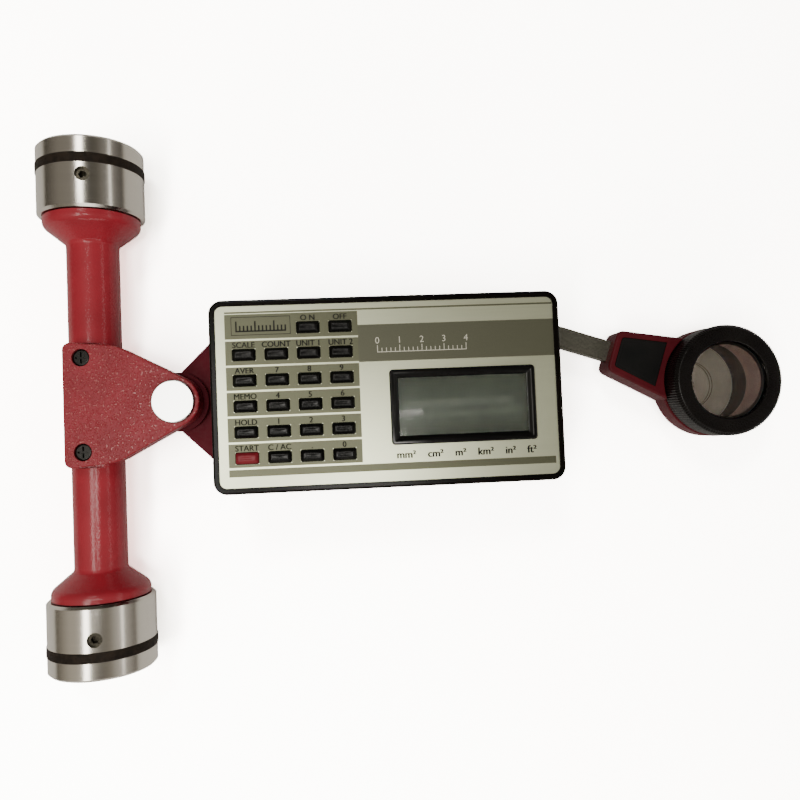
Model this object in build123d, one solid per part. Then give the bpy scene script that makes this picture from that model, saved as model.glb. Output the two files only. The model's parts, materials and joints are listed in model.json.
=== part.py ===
from build123d import *
import math
import os

# Linear planimeter: two-roller carriage, swinging arm with counter, tracer magnifier.
#
# Millimetres. X runs along the arm towards the tracer, Y along the roller axle, Z up from the paper.
# The origin is on the paper, under the middle of the whole instrument. Every piece is worked out
# from the driving dimensions below, first about the pivot, and is then moved by PIVOT_X.

# ---------------------------------------------------------------- fits and clearances
RUN_FIT = 0.05          # shaft in a plain hole, on the radius
TURN_GAP = 0.3          # between surfaces that turn past each other
KEY_GAP = 0.15          # key cap to its opening, each side
SEAT_GAP = 0.1          # loose fit of a piece in its pocket, each side
LEAD = 0.02             # how far a cut runs past a face

# ---------------------------------------------------------------- carriage and rollers
AXLE_BACK = 24.8        # axle behind the pivot
TYRE_R = 15.0           # rolling radius, and the height of the axle
TYRE_WIDTH = 2.75
TYRE_DEPTH = 1.4
TYRE_PROUD = 0.2
TRACK_OUT = 75.0        # pivot line to the outer face of a roller
DRUM_LENGTH = 20.2
DRUM_CHAMFER = 0.7
TYRE_INSET = 5.1        # outer face to the near side of the tyre
DRUM_DISH_R = 11.5
DRUM_DISH_DEPTH = 3.0
DRUM_HUB_R = 5.5
SET_SCREW_R = 2.0
SET_SCREW_SUNK = 1.0
SET_SCREW_IN = 11.2     # outer face to the set screw
SET_SCREW_LEAN = 10.5   # degrees from straight up, towards the arm
HEX_KEY_R = 1.15
AXLE_R = 3.0
AXLE_SUNK = 1.2         # axle end below the drum's outer face
AXLE_CHAMFER = 0.3
AXLE_CENTRE_R = 0.75    # centre hole in each end
AXLE_CENTRE = 1.5
TUBE_R = 7.3
TUBE_BORE_R = 3.8
BELL_R = 13.5
BELL_GAP = 0.3          # bell rim to drum
BELL_FLARE = 7.4        # length of the flare
BELL_RIM = 2.3          # straight part of the rim
BELL_ROUND = 2.6
NECK_ROUND = 1.4
BEARING_R = 6.5
BEARING_WIDTH = 5.0
BEARING_RACE = 1.2      # thickness of a race ring
BEARING_DISH = 0.3      # how far the shield lies below the races

# ---------------------------------------------------------------- bracket over the axle tube
PLATE_TOP = 27.0
PLATE_THICK = 5.8
PLATE_BACK = 29.9       # rear edge behind the pivot
PLATE_HALF = 17.6
PLATE_CORNER_R = 2.0
PLATE_WAIST_BACK = 15.5
PLATE_WAIST_HALF = 16.3
PLATE_WAIST_R = 12.0
PLATE_NOSE_R = 7.2
PLATE_EDGE = 0.5
BRACKET_SCREW_HALF = 13.1
BRACKET_SCREW_HEAD_R = 2.35
BRACKET_SCREW_R = 1.5
BRACKET_SCREW_HEAD = 1.7
BRACKET_SCREW_SUNK = 0.5
BRACKET_SCREW_WALL = 0.4   # metal left between the screw and the tube's bore

# ---------------------------------------------------------------- pivot
PIVOT_HEAD_R = 6.0
PIVOT_HEAD = 2.0
PIVOT_HEAD_PROUD = 0.8
PIVOT_HEAD_ROUND = 0.4
PIVOT_TAIL = 0.8        # thread below the nut
PIVOT_SHANK_R = 4.0
PIVOT_R = 3.0
NUT_FLATS_R = 4.6
NUT_HEIGHT = 2.6
WASHER_R = 4.1
WASHER_THICK = 0.6

# ---------------------------------------------------------------- arm frame
BOSS_R = 8.5
BOSS_TOP = 20.5
BOSS_HEIGHT = 12.0
BOSS_LEDGE = 1.0        # inner ledge that parts the two bearings
FRAME_TOP = 18.0
FRAME_THICK = 4.0
FRAME_INSET = 2.6       # frame edge inside the case, each side
FAN_START = 15.0        # where the fan reaches its full width
FRAME_CORNER_R = 4.0
FRAME_EDGE = 0.6

# ---------------------------------------------------------------- case
CASE_START = 12.5       # pivot to the near end of the case
CASE_LENGTH = 94.4
CASE_WIDTH = 51.6
CASE_CORNER_R = 3.6
CASE_TOP = 38.0
CASE_SPLIT = 30.0
CASE_WALL = 1.8
CASE_FLOOR = 2.0
CASE_FOOT_CHAMFER = 1.4
CASE_RIM = 1.65
CASE_RIM_ROUND = 0.6
LIP_HEIGHT = 2.0
LIP_THICK = 0.7
DECK_THICK = 1.6
PANEL_THICK = 0.5
PANEL_SUNK = 0.3
POST_R = 1.9
POST_SHOULDER_R = 2.2
POST_INSET = 4.9        # post centre from the outside of the case

# ---------------------------------------------------------------- keys
KEY_PITCH_X = 8.58
KEY_FIRST_X = 9.05      # near end of the case to the first column
KEY_HIGH_INSET = 7.85   # side of the case to the middle of the top row
KEY_LOW_INSET = 9.5     # other side of the case to the middle of the lowest row
KEY_LONG = 6.0
KEY_WIDE = 2.95
KEY_PROUD = 1.2
KEY_TRAVEL = 0.7
KEY_FLANGE = 0.6
KEY_FLANGE_OUT = 0.35   # flange beyond the opening, each side
KEY_ROUND = 0.4
KEY_SLOPE_IN = 0.7      # a cap's sloping sides, seen from above
KEY_SLOPE_UP = 0.8      # height of the slope
KEY_ROWS = [
    ["", "", "on", "off"],
    ["scale", "count", "unit_a", "unit_b"],
    ["average", "7", "8", "9"],
    ["memory", "4", "5", "6"],
    ["hold", "1", "2", "3"],
    ["start", "clear", "point", "0"],
]

# ---------------------------------------------------------------- screen and electronics
SCREEN_START = 47.4     # near end of the case to the screen frame
SCREEN_END = 7.5        # screen frame to the far end of the case
SCREEN_WIDE = 20.2
SCREEN_LOW_INSET = 11.3 # side of the case to the screen frame
SCREEN_BORDER = 2.3
SCREEN_PROUD = 1.0
SCREEN_CORNER_R = 1.0
SCREEN_BEVEL = 0.7
WINDOW_THICK = 1.1
WINDOW_LAP = 0.6        # window under its frame, each side
LCD_SLACK = 0.3
BOARD_THICK = 1.6
BOARD_INSET = 3.7       # board edge from the outside of the case
MAT_THICK = 1.1
MAT_MARGIN = 0.9        # mat beyond the key flanges
CELL_R = 5.15
CELL_LENGTH = 44.0
CELL_COUNT = 4
CELL_SHRINK = 0.1       # how far neighbouring cells press together
JACK_BORE_R = 1.8
JACK_NOSE_R = 3.0
JACK_FLANGE_R = 4.0
JACK_FLANGE = 0.8
JACK_DEPTH = 9.0
JACK_BODY = 8.0
JACK_END = 14.3         # near end of the case to the jack
JACK_UP = 6.5           # above the underside of the case

# ---------------------------------------------------------------- measuring wheel
WHEEL_REACH = 60.0      # pivot to the measuring wheel
WHEEL_R = 8.0
WHEEL_WIDTH = 3.0
WHEEL_RIM = 0.5
WHEEL_DISH = 0.8
WHEEL_HUB_R = 2.6
WHEEL_AXLE_R = 0.8
WHEEL_AXLE_IN = 0.5     # how far the axle runs into the cheeks' outer half
ENCODER_R = 6.3
ENCODER_THICK = 0.5
ENCODER_ALONG = 6.2     # wheel to encoder disc, centre to centre
ENCODER_SLOTS = 24
ENCODER_SLOT = 0.5      # width of a slot, and of the rim outside it
ENCODER_SLOT_IN = 4.6   # axis to the inner end of a slot
ENCODER_HUB_R = 2.0
ENCODER_HUB = 1.6
CHEEK_NEAR = 5.0        # wheel to the near cheek of the rocker
CHEEK_FAR = 9.2         # wheel to the far cheek
CHEEK_THICK = 2.0
ROCKER_HALF = 9.0       # inside half width of the rocker
ROCKER_RAIL = 1.8
ROCKER_BOTTOM = 4.2
ROCKER_TOP = 12.4
ROCKER_BACK = 22.0      # wheel to the rocker's pin
ROCKER_EYE_R = 2.6
ROCKER_UP_DEG = 2.0     # swing each way
ROCKER_PIN_R = 1.2
ROCKER_PIN_UP = 9.8
EAR_THICK = 2.2
EAR_R = 3.0
WINDOW_AIR = 1.2        # air round wheel and disc in the frame's window
SPRING_THICK = 0.3
SPRING_WIDE = 6.0
SPRING_LONG = 11.0
SPRING_RISE_BACK = 0.4  # upper bend ahead of the lower one
SENSOR_LONG = 3.4
SENSOR_WIDE = 5.0
SENSOR_SLOT = 1.3
SENSOR_COVER = 2.2      # how far the sensor reaches over the disc

# ---------------------------------------------------------------- tracer
LENS_REACH = 161.0      # pivot to the tracing point
BAR_ANGLE = 18.5        # degrees between the bar's slanting run and the arm
BAR_WIDE = 6.3
BAR_THICK = 3.0
BAR_SIDE = 18.4         # centre line of the arm to the bar's straight run
BAR_START = 84.0
BAR_IN_HOLDER = 21.0    # tracing point to the bar's hidden end
HOLDER_END = 33.8       # tracing point to the end of the holder
HOLDER_END_HALF = 6.3
HOLDER_ROOT = 12.0
HOLDER_ROOT_HALF = 10.0
HOLDER_TOP = 18.0
HOLDER_BOTTOM = 8.8
HOLDER_CORNER_R = 2.2
HOLDER_EDGE = 0.7
COLLAR_R = 16.7
COLLAR_TOP = 15.7
SKIRT_R = 14.0
SKIRT_BOTTOM = 2.0
HOLDER_BORE_R = 12.4
PAD_FAR = 32.0
PAD_NEAR = 18.4
PAD_FAR_HALF = 4.5
PAD_NEAR_HALF = 6.9
PAD_DEPTH = 1.2
PAD_PROUD = 0.2
PAD_CORNER_R = 1.0
RING_R = 16.5
RING_TOP = 25.2
RING_KNURL = 72
RING_KNURL_DEPTH = 0.3
RING_KNURL_R = 0.6      # radius of a knurl groove
RING_CHAMFER = 0.8
RING_MOUTH_R = 11.05
RING_LIP = 1.3
RING_SLEEVE_BOTTOM = 11.0
LENS_R = 11.55
LENS_EDGE = 2.2
LENS_SAG = 1.1
RETAINER_HEIGHT = 1.5
RETAINER_WALL = 0.9
BASE_R = 13.4
BASE_THICK = 2.0
BASE_CHAMFER = 0.5

# ---------------------------------------------------------------- arm screws
SCREW_R = 1.0
SCREW_HEAD_R = 1.9
SCREW_HEAD = 1.3
SCREW_HEAD_ROUND = 0.4
CROSS_DEPTH = 0.8
CROSS_REACH = 1.6       # middle of the head to the end of a cross slot
CROSS_HALF = 0.27       # half the width of a cross slot
SCREW_CLEAR = 0.2       # free hole around a screw
SCREW_SUNK = 0.1        # case screw heads below the frame's underside
CASE_SCREW = 10.0
BAR_SCREW = 6.0
BAR_SCREW_FIRST = 3.4
BAR_SCREW_PITCH = 8.0
HOLDER_SCREW_FIRST = 24.5
HOLDER_SCREW_PITCH = 6.0

# ---------------------------------------------------------------- worked-out places
PIVOT_X = -(LENS_REACH + COLLAR_R - AXLE_BACK - TYRE_R) / 2
AXLE_Z = TYRE_R
DRUM_R = TYRE_R - TYRE_PROUD
DRUM_IN = TRACK_OUT - DRUM_LENGTH
BELL_FACE = DRUM_IN - BELL_GAP
PLATE_BOTTOM = PLATE_TOP - PLATE_THICK
FRAME_BOTTOM = FRAME_TOP - FRAME_THICK
FRAME_HALF = CASE_WIDTH / 2 - FRAME_INSET
CASE_BOTTOM = FRAME_TOP
CASE_END = CASE_START + CASE_LENGTH
CASE_MID = CASE_START + CASE_LENGTH / 2
PANEL_TOP = CASE_TOP - PANEL_SUNK
DECK_TOP = PANEL_TOP - PANEL_THICK
DECK_BOTTOM = DECK_TOP - DECK_THICK
KEY_FIRST_Y = CASE_WIDTH / 2 - KEY_HIGH_INSET
KEY_PITCH_Y = (CASE_WIDTH - KEY_HIGH_INSET - KEY_LOW_INSET) / (len(KEY_ROWS) - 1)
KEY_SEAT = DECK_BOTTOM - KEY_FLANGE
MAT_TOP = KEY_SEAT - KEY_TRAVEL - SEAT_GAP
BOARD_TOP = MAT_TOP - MAT_THICK
BOARD_BOTTOM = BOARD_TOP - BOARD_THICK
SCREEN_LONG = CASE_LENGTH - SCREEN_START - SCREEN_END
SCREEN_MID = CASE_START + SCREEN_START + SCREEN_LONG / 2
SCREEN_Y = SCREEN_LOW_INSET + SCREEN_WIDE / 2 - CASE_WIDTH / 2
WINDOW_LONG = SCREEN_LONG - 2 * SCREEN_BORDER + 2 * WINDOW_LAP
WINDOW_WIDE = SCREEN_WIDE - 2 * SCREEN_BORDER + 2 * WINDOW_LAP
LCD_TOP = PANEL_TOP - WINDOW_THICK
BAR_TOP = FRAME_BOTTOM
BAR_BOTTOM = BAR_TOP - BAR_THICK
ROCKER_PIN_X = WHEEL_REACH - ROCKER_BACK
BEARING_TOP = BOSS_TOP
BOSS_BOTTOM = BOSS_TOP - BOSS_HEIGHT
RING_BOTTOM = COLLAR_TOP + TURN_GAP
LENS_SEAT = RING_TOP - RING_LIP
CASE_SCREW_SEAT = FRAME_BOTTOM + SCREW_SUNK + SCREW_HEAD


# ---------------------------------------------------------------- small helpers
def block(x0, x1, y0, y1, z0, z1):
    """A box given by its two corners."""
    size = Box(x1 - x0, y1 - y0, z1 - z0, align=(Align.MIN, Align.MIN, Align.MIN))
    return Pos(x0, y0, z0) * size


def rod(radius, z0, z1, x=0.0, y=0.0):
    """An upright cylinder from height z0 to z1."""
    return Pos(x, y, z0) * Cylinder(radius, z1 - z0, align=(Align.CENTER, Align.CENTER, Align.MIN))


def rod_x(radius, x0, x1, y=0.0, z=0.0):
    """A cylinder along X."""
    along = Rot(0, 90, 0) * Cylinder(radius, x1 - x0, align=(Align.CENTER, Align.CENTER, Align.MIN))
    return Pos(x0, y, z) * along


def rod_y(radius, y0, y1, x=0.0, z=0.0):
    """A cylinder along Y."""
    along = Rot(-90, 0, 0) * Cylinder(radius, y1 - y0, align=(Align.CENTER, Align.CENTER, Align.MIN))
    return Pos(x, y0, z) * along


def tube(outer, inner, z0, z1, x=0.0, y=0.0):
    """An upright ring."""
    return rod(outer, z0, z1, x, y) - rod(inner, z0 - LEAD, z1 + LEAD, x, y)


def slab(long, wide, corner, z0, z1, x=0.0, y=0.0):
    """A rounded rectangle of constant height, centred on x, y."""
    return Pos(x, y, z0) * extrude(RectangleRounded(long, wide, corner), z1 - z0)


def prism(points, z0, z1):
    """A polygon pulled up from z0 to z1."""
    return Pos(0, 0, z0) * extrude(make_face(Polyline(*points, close=True)), z1 - z0)


def turned_y(points):
    """A profile of (radius, distance along Y) turned about the Y axis."""
    return revolve(make_face(Polyline(*points, close=True)), Axis.Y)


def upright_edges(solid):
    return solid.edges().filter_by(Axis.Z)


def both(piece):
    """A piece and its mirror image on the other side of the arm's centre line."""
    return [piece, mirror(piece, about=Plane.XZ)]


def at_axle(piece):
    return Pos(-AXLE_BACK, 0, AXLE_Z) * piece


def at_tracer(piece):
    """From the holder's own frame, with its length along -X, to its slant at the tracing point."""
    return Pos(LENS_REACH, 0, 0) * Rot(0, 0, -BAR_ANGLE) * piece


def key_places():
    """Name and centre of each key."""
    places = []
    for row, names in enumerate(KEY_ROWS):
        for column, name in enumerate(names):
            if name:
                x = CASE_START + KEY_FIRST_X + column * KEY_PITCH_X
                y = KEY_FIRST_Y - row * KEY_PITCH_Y
                places.append((name, x, y))
    return places


def post_places():
    """Centres of the four case posts, which the long screws go up into."""
    places = []
    for x in (CASE_START + POST_INSET, CASE_END - POST_INSET):
        for y in (-CASE_WIDTH / 2 + POST_INSET, CASE_WIDTH / 2 - POST_INSET):
            places.append((x, y))
    return places


def bar_screw_places():
    return [(BAR_START + BAR_SCREW_FIRST + i * BAR_SCREW_PITCH, BAR_SIDE) for i in range(2)]


def holder_screw_places():
    """Distances from the tracing point along the holder."""
    return [HOLDER_SCREW_FIRST + i * HOLDER_SCREW_PITCH for i in range(2)]


# ---------------------------------------------------------------- carriage
def roller_housing():
    """Cast axle tube that flares into a bell at each end, flat on top under the bracket."""
    rim = BELL_FACE - BELL_RIM
    neck = BELL_FACE - BELL_FLARE
    profile = make_face(Polyline(
        (0, 0), (TUBE_R, 0), (TUBE_R, neck), (BELL_R, rim), (BELL_R, BELL_FACE), (0, BELL_FACE), close=True))
    profile = fillet([v for v in profile.vertices() if abs(v.Y - neck) < LEAD], NECK_ROUND)
    profile = fillet([v for v in profile.vertices() if abs(v.Y - rim) < LEAD], BELL_ROUND)
    half = revolve(profile, Axis.Y)
    body = half + mirror(half, about=Plane.XZ)
    body -= rod_y(TUBE_BORE_R, -TRACK_OUT, TRACK_OUT)
    for seat in both(rod_y(BEARING_R, BELL_FACE - BEARING_WIDTH, TRACK_OUT)):
        body -= seat
    body = at_axle(body)
    half_seat = PLATE_HALF + SEAT_GAP
    body -= block(-AXLE_BACK - TUBE_R, -AXLE_BACK + TUBE_R, -half_seat, half_seat, PLATE_BOTTOM, PLATE_TOP)
    for y in (-BRACKET_SCREW_HALF, BRACKET_SCREW_HALF):
        body -= rod(BRACKET_SCREW_R, AXLE_Z, PLATE_TOP, -AXLE_BACK, y)
    return body


def plate_outline():
    """Triangle with a blunt rear edge and a round nose about the pivot."""
    waist = math.hypot(PLATE_WAIST_BACK, PLATE_WAIST_HALF)
    turn = math.atan2(PLATE_WAIST_HALF, -PLATE_WAIST_BACK) - math.acos(PLATE_NOSE_R / waist)
    nose_x = PLATE_NOSE_R * math.cos(turn)
    nose_y = PLATE_NOSE_R * math.sin(turn)
    upper = [(nose_x, nose_y), (-PLATE_WAIST_BACK, PLATE_WAIST_HALF), (-PLATE_BACK, PLATE_HALF)]
    return upper + [(x, -y) for x, y in reversed(upper)]


def bracket_plate():
    """Triangular plate on the tube that carries the pivot at its nose."""
    body = prism(plate_outline(), PLATE_BOTTOM, PLATE_TOP)
    corners = [e for e in upright_edges(body) if abs(e.center().X + PLATE_BACK) < LEAD]
    body = fillet(corners, PLATE_CORNER_R)
    waists = [e for e in upright_edges(body) if abs(e.center().X + PLATE_WAIST_BACK) < LEAD]
    body = fillet(waists, PLATE_WAIST_R)
    body += rod(PLATE_NOSE_R, PLATE_BOTTOM, PLATE_TOP)
    body = fillet(body.faces().sort_by(Axis.Z)[-1].edges(), PLATE_EDGE)
    seat = PLATE_TOP + PIVOT_HEAD_PROUD - PIVOT_HEAD
    body -= rod(PIVOT_HEAD_R + SEAT_GAP, seat, PLATE_TOP + LEAD)
    body -= rod(PIVOT_SHANK_R, PLATE_BOTTOM - LEAD, PLATE_TOP)
    head_seat = PLATE_TOP - BRACKET_SCREW_SUNK - BRACKET_SCREW_HEAD
    for y in (-BRACKET_SCREW_HALF, BRACKET_SCREW_HALF):
        body -= rod(BRACKET_SCREW_HEAD_R + SEAT_GAP, head_seat, PLATE_TOP + LEAD, -AXLE_BACK, y)
        body -= rod(BRACKET_SCREW_R + SCREW_CLEAR, PLATE_BOTTOM - LEAD, PLATE_TOP, -AXLE_BACK, y)
    return body


def cross_slot(z):
    """Cutter for a cross slot in a screw head whose top is at z, about the Z axis."""
    one = block(-CROSS_REACH, CROSS_REACH, -CROSS_HALF, CROSS_HALF, z - CROSS_DEPTH, z + LEAD)
    return one + Rot(0, 0, 90) * one


def bracket_screws():
    """Two black cross-head screws that hold the plate down on the tube."""
    top = PLATE_TOP - BRACKET_SCREW_SUNK
    seat = top - BRACKET_SCREW_HEAD
    tip = AXLE_Z + TUBE_BORE_R + BRACKET_SCREW_WALL
    screw = rod(BRACKET_SCREW_HEAD_R, seat, top) + rod(BRACKET_SCREW_R, tip, seat)
    screw = fillet(screw.edges().filter_by(GeomType.CIRCLE).sort_by(Axis.Z)[-1], BRACKET_SCREW_SUNK)
    screw -= cross_slot(top)
    return [Pos(-AXLE_BACK, y, 0) * screw for y in (-BRACKET_SCREW_HALF, BRACKET_SCREW_HALF)]


def ball_bearing(bore):
    """A shielded ball bearing standing on z = 0, as one ring with sunk shields."""
    body = tube(BEARING_R, bore, 0, BEARING_WIDTH)
    for z in (-LEAD, BEARING_WIDTH - BEARING_DISH):
        groove = tube(BEARING_R - BEARING_RACE, bore + BEARING_RACE, z, z + BEARING_DISH + LEAD)
        body -= groove
    return body


def axle_bearings():
    """A ball bearing in each bell."""
    one = Pos(0, BELL_FACE, 0) * Rot(90, 0, 0) * ball_bearing(AXLE_R + RUN_FIT)
    return [at_axle(piece) for piece in both(one)]


def pivot_shaft():
    """Headed spindle fixed in the bracket's nose; the arm's bearings run on it."""
    head_top = PLATE_TOP + PIVOT_HEAD_PROUD
    seat = head_top - PIVOT_HEAD
    head = rod(PIVOT_HEAD_R, seat, head_top)
    head = fillet(head.edges().filter_by(GeomType.CIRCLE).sort_by(Axis.Z)[-1], PIVOT_HEAD_ROUND)
    shank = rod(PIVOT_SHANK_R, BEARING_TOP, seat)
    journal = rod(PIVOT_R, BOSS_BOTTOM - WASHER_THICK - NUT_HEIGHT - PIVOT_TAIL, seat)
    return head + shank + journal


def pivot_nut():
    """Nut and washer under the lower pivot bearing."""
    washer = tube(WASHER_R, PIVOT_R, BOSS_BOTTOM - WASHER_THICK, BOSS_BOTTOM)
    under = BOSS_BOTTOM - WASHER_THICK
    nut = Pos(0, 0, under - NUT_HEIGHT) * extrude(RegularPolygon(NUT_FLATS_R, 6), NUT_HEIGHT)
    nut -= rod(PIVOT_R, 0, under + LEAD)
    return [washer, nut]


# ---------------------------------------------------------------- rollers
def roller_axle():
    """Steel axle through both drums, with a centre drilled in each end."""
    end = TRACK_OUT - AXLE_SUNK
    body = rod_y(AXLE_R, -end, end)
    body = chamfer(body.edges().filter_by(GeomType.CIRCLE), AXLE_CHAMFER)
    for centre in both(rod_y(AXLE_CENTRE_R, end - AXLE_CENTRE, TRACK_OUT)):
        body -= centre
    return at_axle(body)


def set_screw_axis(cutter):
    """Turn an upright cutter about the axle to where the set screws point."""
    return at_axle(Rot(0, SET_SCREW_LEAN, 0) * cutter)


def drum():
    """Turned drum on the +Y end: tyre groove, dished outer face, hub towards the bearing."""
    groove_out = TRACK_OUT - TYRE_INSET
    groove_in = groove_out - TYRE_WIDTH
    dish = TRACK_OUT - DRUM_DISH_DEPTH
    body = turned_y([
        (AXLE_R, BELL_FACE), (AXLE_R + BEARING_RACE, BELL_FACE), (AXLE_R + BEARING_RACE, DRUM_IN),
        (DRUM_R - DRUM_CHAMFER, DRUM_IN), (DRUM_R, DRUM_IN + DRUM_CHAMFER),
        (DRUM_R, groove_in), (TYRE_R - TYRE_DEPTH, groove_in),
        (TYRE_R - TYRE_DEPTH, groove_out), (DRUM_R, groove_out),
        (DRUM_R, TRACK_OUT - DRUM_CHAMFER), (DRUM_R - DRUM_CHAMFER, TRACK_OUT),
        (DRUM_DISH_R, TRACK_OUT), (DRUM_DISH_R - DRUM_CHAMFER, dish),
        (DRUM_HUB_R, dish), (DRUM_HUB_R, TRACK_OUT - AXLE_SUNK), (AXLE_R, TRACK_OUT - AXLE_SUNK),
    ])
    body = at_axle(body)
    return body - set_screw_axis(rod(SET_SCREW_R, 0, TYRE_R, 0, TRACK_OUT - SET_SCREW_IN))


def roller_drum(side):
    body = drum()
    return body if side > 0 else mirror(body, about=Plane.XZ)


def tyres():
    """A rubber band in each drum's groove, proud of the metal."""
    groove_out = TRACK_OUT - TYRE_INSET
    inner = TYRE_R - TYRE_DEPTH
    edge = TYRE_PROUD
    band = turned_y([
        (inner, groove_out - TYRE_WIDTH), (TYRE_R - edge, groove_out - TYRE_WIDTH),
        (TYRE_R, groove_out - TYRE_WIDTH + edge), (TYRE_R, groove_out - edge),
        (TYRE_R - edge, groove_out), (inner, groove_out),
    ])
    return [at_axle(piece) for piece in both(band)]


def roller_set_screws():
    """Socket set screws that lock the drums on the axle."""
    top = DRUM_R - SET_SCREW_SUNK
    screw = rod(SET_SCREW_R, AXLE_R, top)
    screw -= Pos(0, 0, top - SET_SCREW_R) * extrude(RegularPolygon(HEX_KEY_R, 6), SET_SCREW_R + LEAD)
    screw = set_screw_axis(Pos(0, TRACK_OUT - SET_SCREW_IN, 0) * screw)
    return both(screw)


# ---------------------------------------------------------------- arm frame and case
def arm_frame():
    """Casting that widens from the pivot boss into the tray under the case."""
    outline = [(0, BOSS_R), (FAN_START, FRAME_HALF), (CASE_END - FRAME_INSET, FRAME_HALF)]
    outline += [(x, -y) for x, y in reversed(outline)]
    tray = prism(outline, FRAME_BOTTOM, FRAME_TOP)
    ends = [e for e in upright_edges(tray) if e.center().X > FAN_START - LEAD]
    tray = fillet(ends, FRAME_CORNER_R)
    body = tray + rod(BOSS_R, BOSS_BOTTOM, FRAME_TOP)
    body = fillet(body.faces().sort_by(Axis.Z)[-1].edges(), FRAME_EDGE)
    body += rod(BOSS_R, FRAME_BOTTOM, BOSS_TOP)
    body -= rod(BEARING_R - BOSS_LEDGE, BOSS_BOTTOM - LEAD, BOSS_TOP + LEAD)
    body -= rod(BEARING_R, BOSS_TOP - BEARING_WIDTH, BOSS_TOP + LEAD)
    body -= rod(BEARING_R, BOSS_BOTTOM - LEAD, BOSS_BOTTOM + BEARING_WIDTH)
    for ear in rocker_ears():
        body += ear
    body -= wheel_window(FRAME_BOTTOM - LEAD, FRAME_TOP + LEAD)
    for x, y in post_places():
        body -= rod(SCREW_R + SCREW_CLEAR, FRAME_BOTTOM, FRAME_TOP + LEAD, x, y)
        body -= rod(SCREW_HEAD_R + SCREW_CLEAR, FRAME_BOTTOM - LEAD, CASE_SCREW_SEAT, x, y)
    for x, y in bar_screw_places():
        body -= rod(SCREW_R, FRAME_BOTTOM - LEAD, BAR_BOTTOM + BAR_SCREW + SCREW_CLEAR, x, y)
    return body


def wheel_window(z0, z1):
    """Cutter that leaves room for the measuring wheel and the encoder disc in the frame."""
    half = WHEEL_R + WINDOW_AIR
    near = WHEEL_REACH - CHEEK_NEAR + CHEEK_THICK
    far = WHEEL_REACH + CHEEK_FAR
    return block(near, far, -half, half, z0, z1)


def rocker_ears():
    """Two ears under the frame that hold the rocker's pin."""
    inner = ROCKER_HALF + ROCKER_RAIL + TURN_GAP
    ear = rod_y(EAR_R, inner, inner + EAR_THICK, ROCKER_PIN_X, ROCKER_PIN_UP)
    ear += block(ROCKER_PIN_X - EAR_R, ROCKER_PIN_X + EAR_R, inner, inner + EAR_THICK,
                 ROCKER_PIN_UP, FRAME_BOTTOM)
    ear -= rod_y(ROCKER_PIN_R, 0, inner + EAR_THICK + LEAD, ROCKER_PIN_X, ROCKER_PIN_UP)
    return both(ear)


def pivot_bearings():
    """Two ball bearings in the arm's boss."""
    one = ball_bearing(PIVOT_R + RUN_FIT)
    return [Pos(0, 0, BOSS_BOTTOM) * one, Pos(0, 0, BOSS_TOP - BEARING_WIDTH) * one]


def case_bottom():
    """Lower shell: floor, walls and a lip that goes inside the upper shell."""
    body = slab(CASE_LENGTH, CASE_WIDTH, CASE_CORNER_R, CASE_BOTTOM, CASE_SPLIT, CASE_MID)
    body = chamfer(body.faces().sort_by(Axis.Z)[0].edges(), CASE_FOOT_CHAMFER)
    inside = 2 * CASE_WALL
    lip = 2 * (CASE_WALL + SEAT_GAP)
    body += slab(CASE_LENGTH - lip, CASE_WIDTH - lip, CASE_CORNER_R - CASE_WALL,
                 CASE_SPLIT - LIP_HEIGHT, CASE_SPLIT + LIP_HEIGHT, CASE_MID)
    body -= slab(CASE_LENGTH - inside - 2 * LIP_THICK, CASE_WIDTH - inside - 2 * LIP_THICK,
                 CASE_CORNER_R - CASE_WALL, CASE_BOTTOM + CASE_FLOOR, CASE_TOP, CASE_MID)
    for x, y in post_places():
        body -= rod(SCREW_R + SCREW_CLEAR, CASE_BOTTOM - LEAD, CASE_SPLIT, x, y)
    jack_z = CASE_BOTTOM + JACK_UP
    body -= rod_y(JACK_NOSE_R + SEAT_GAP, 0, CASE_WIDTH, CASE_START + JACK_END, jack_z)
    return body


def case_top():
    """Upper shell: rim, deck under the panel, posts down to the floor."""
    body = slab(CASE_LENGTH, CASE_WIDTH, CASE_CORNER_R, CASE_SPLIT, CASE_TOP, CASE_MID)
    body = fillet(body.faces().sort_by(Axis.Z)[-1].edges(), CASE_RIM_ROUND)
    inside = 2 * CASE_WALL
    body -= slab(CASE_LENGTH - inside, CASE_WIDTH - inside, CASE_CORNER_R - CASE_WALL,
                 CASE_SPLIT - LEAD, DECK_BOTTOM, CASE_MID)
    rim = 2 * CASE_RIM
    body -= slab(CASE_LENGTH - rim, CASE_WIDTH - rim, CASE_CORNER_R - CASE_RIM,
                 DECK_TOP, CASE_TOP + LEAD, CASE_MID)
    for x, y in post_places():
        body += rod(POST_SHOULDER_R, BOARD_TOP, DECK_BOTTOM, x, y)
        body += rod(POST_R, CASE_BOTTOM + CASE_FLOOR, DECK_BOTTOM, x, y)
        body -= rod(SCREW_R, CASE_BOTTOM, CASE_SCREW_SEAT + CASE_SCREW + SCREW_CLEAR, x, y)
    body -= key_openings(DECK_BOTTOM - LEAD, DECK_TOP + LEAD)
    body -= screen_opening(DECK_BOTTOM - LEAD, DECK_TOP + LEAD)
    return body


def key_openings(z0, z1):
    """Cutter for the rectangular key holes."""
    long = KEY_LONG + 2 * KEY_GAP
    wide = KEY_WIDE + 2 * KEY_GAP
    holes = [Pos(x, y, 0) * slab(long, wide, KEY_ROUND, z0, z1) for _, x, y in key_places()]
    return Compound(holes)


def screen_opening(z0, z1):
    long = WINDOW_LONG + 2 * SEAT_GAP
    wide = WINDOW_WIDE + 2 * SEAT_GAP
    return Pos(SCREEN_MID, SCREEN_Y, 0) * slab(long, wide, KEY_ROUND, z0, z1)


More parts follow.
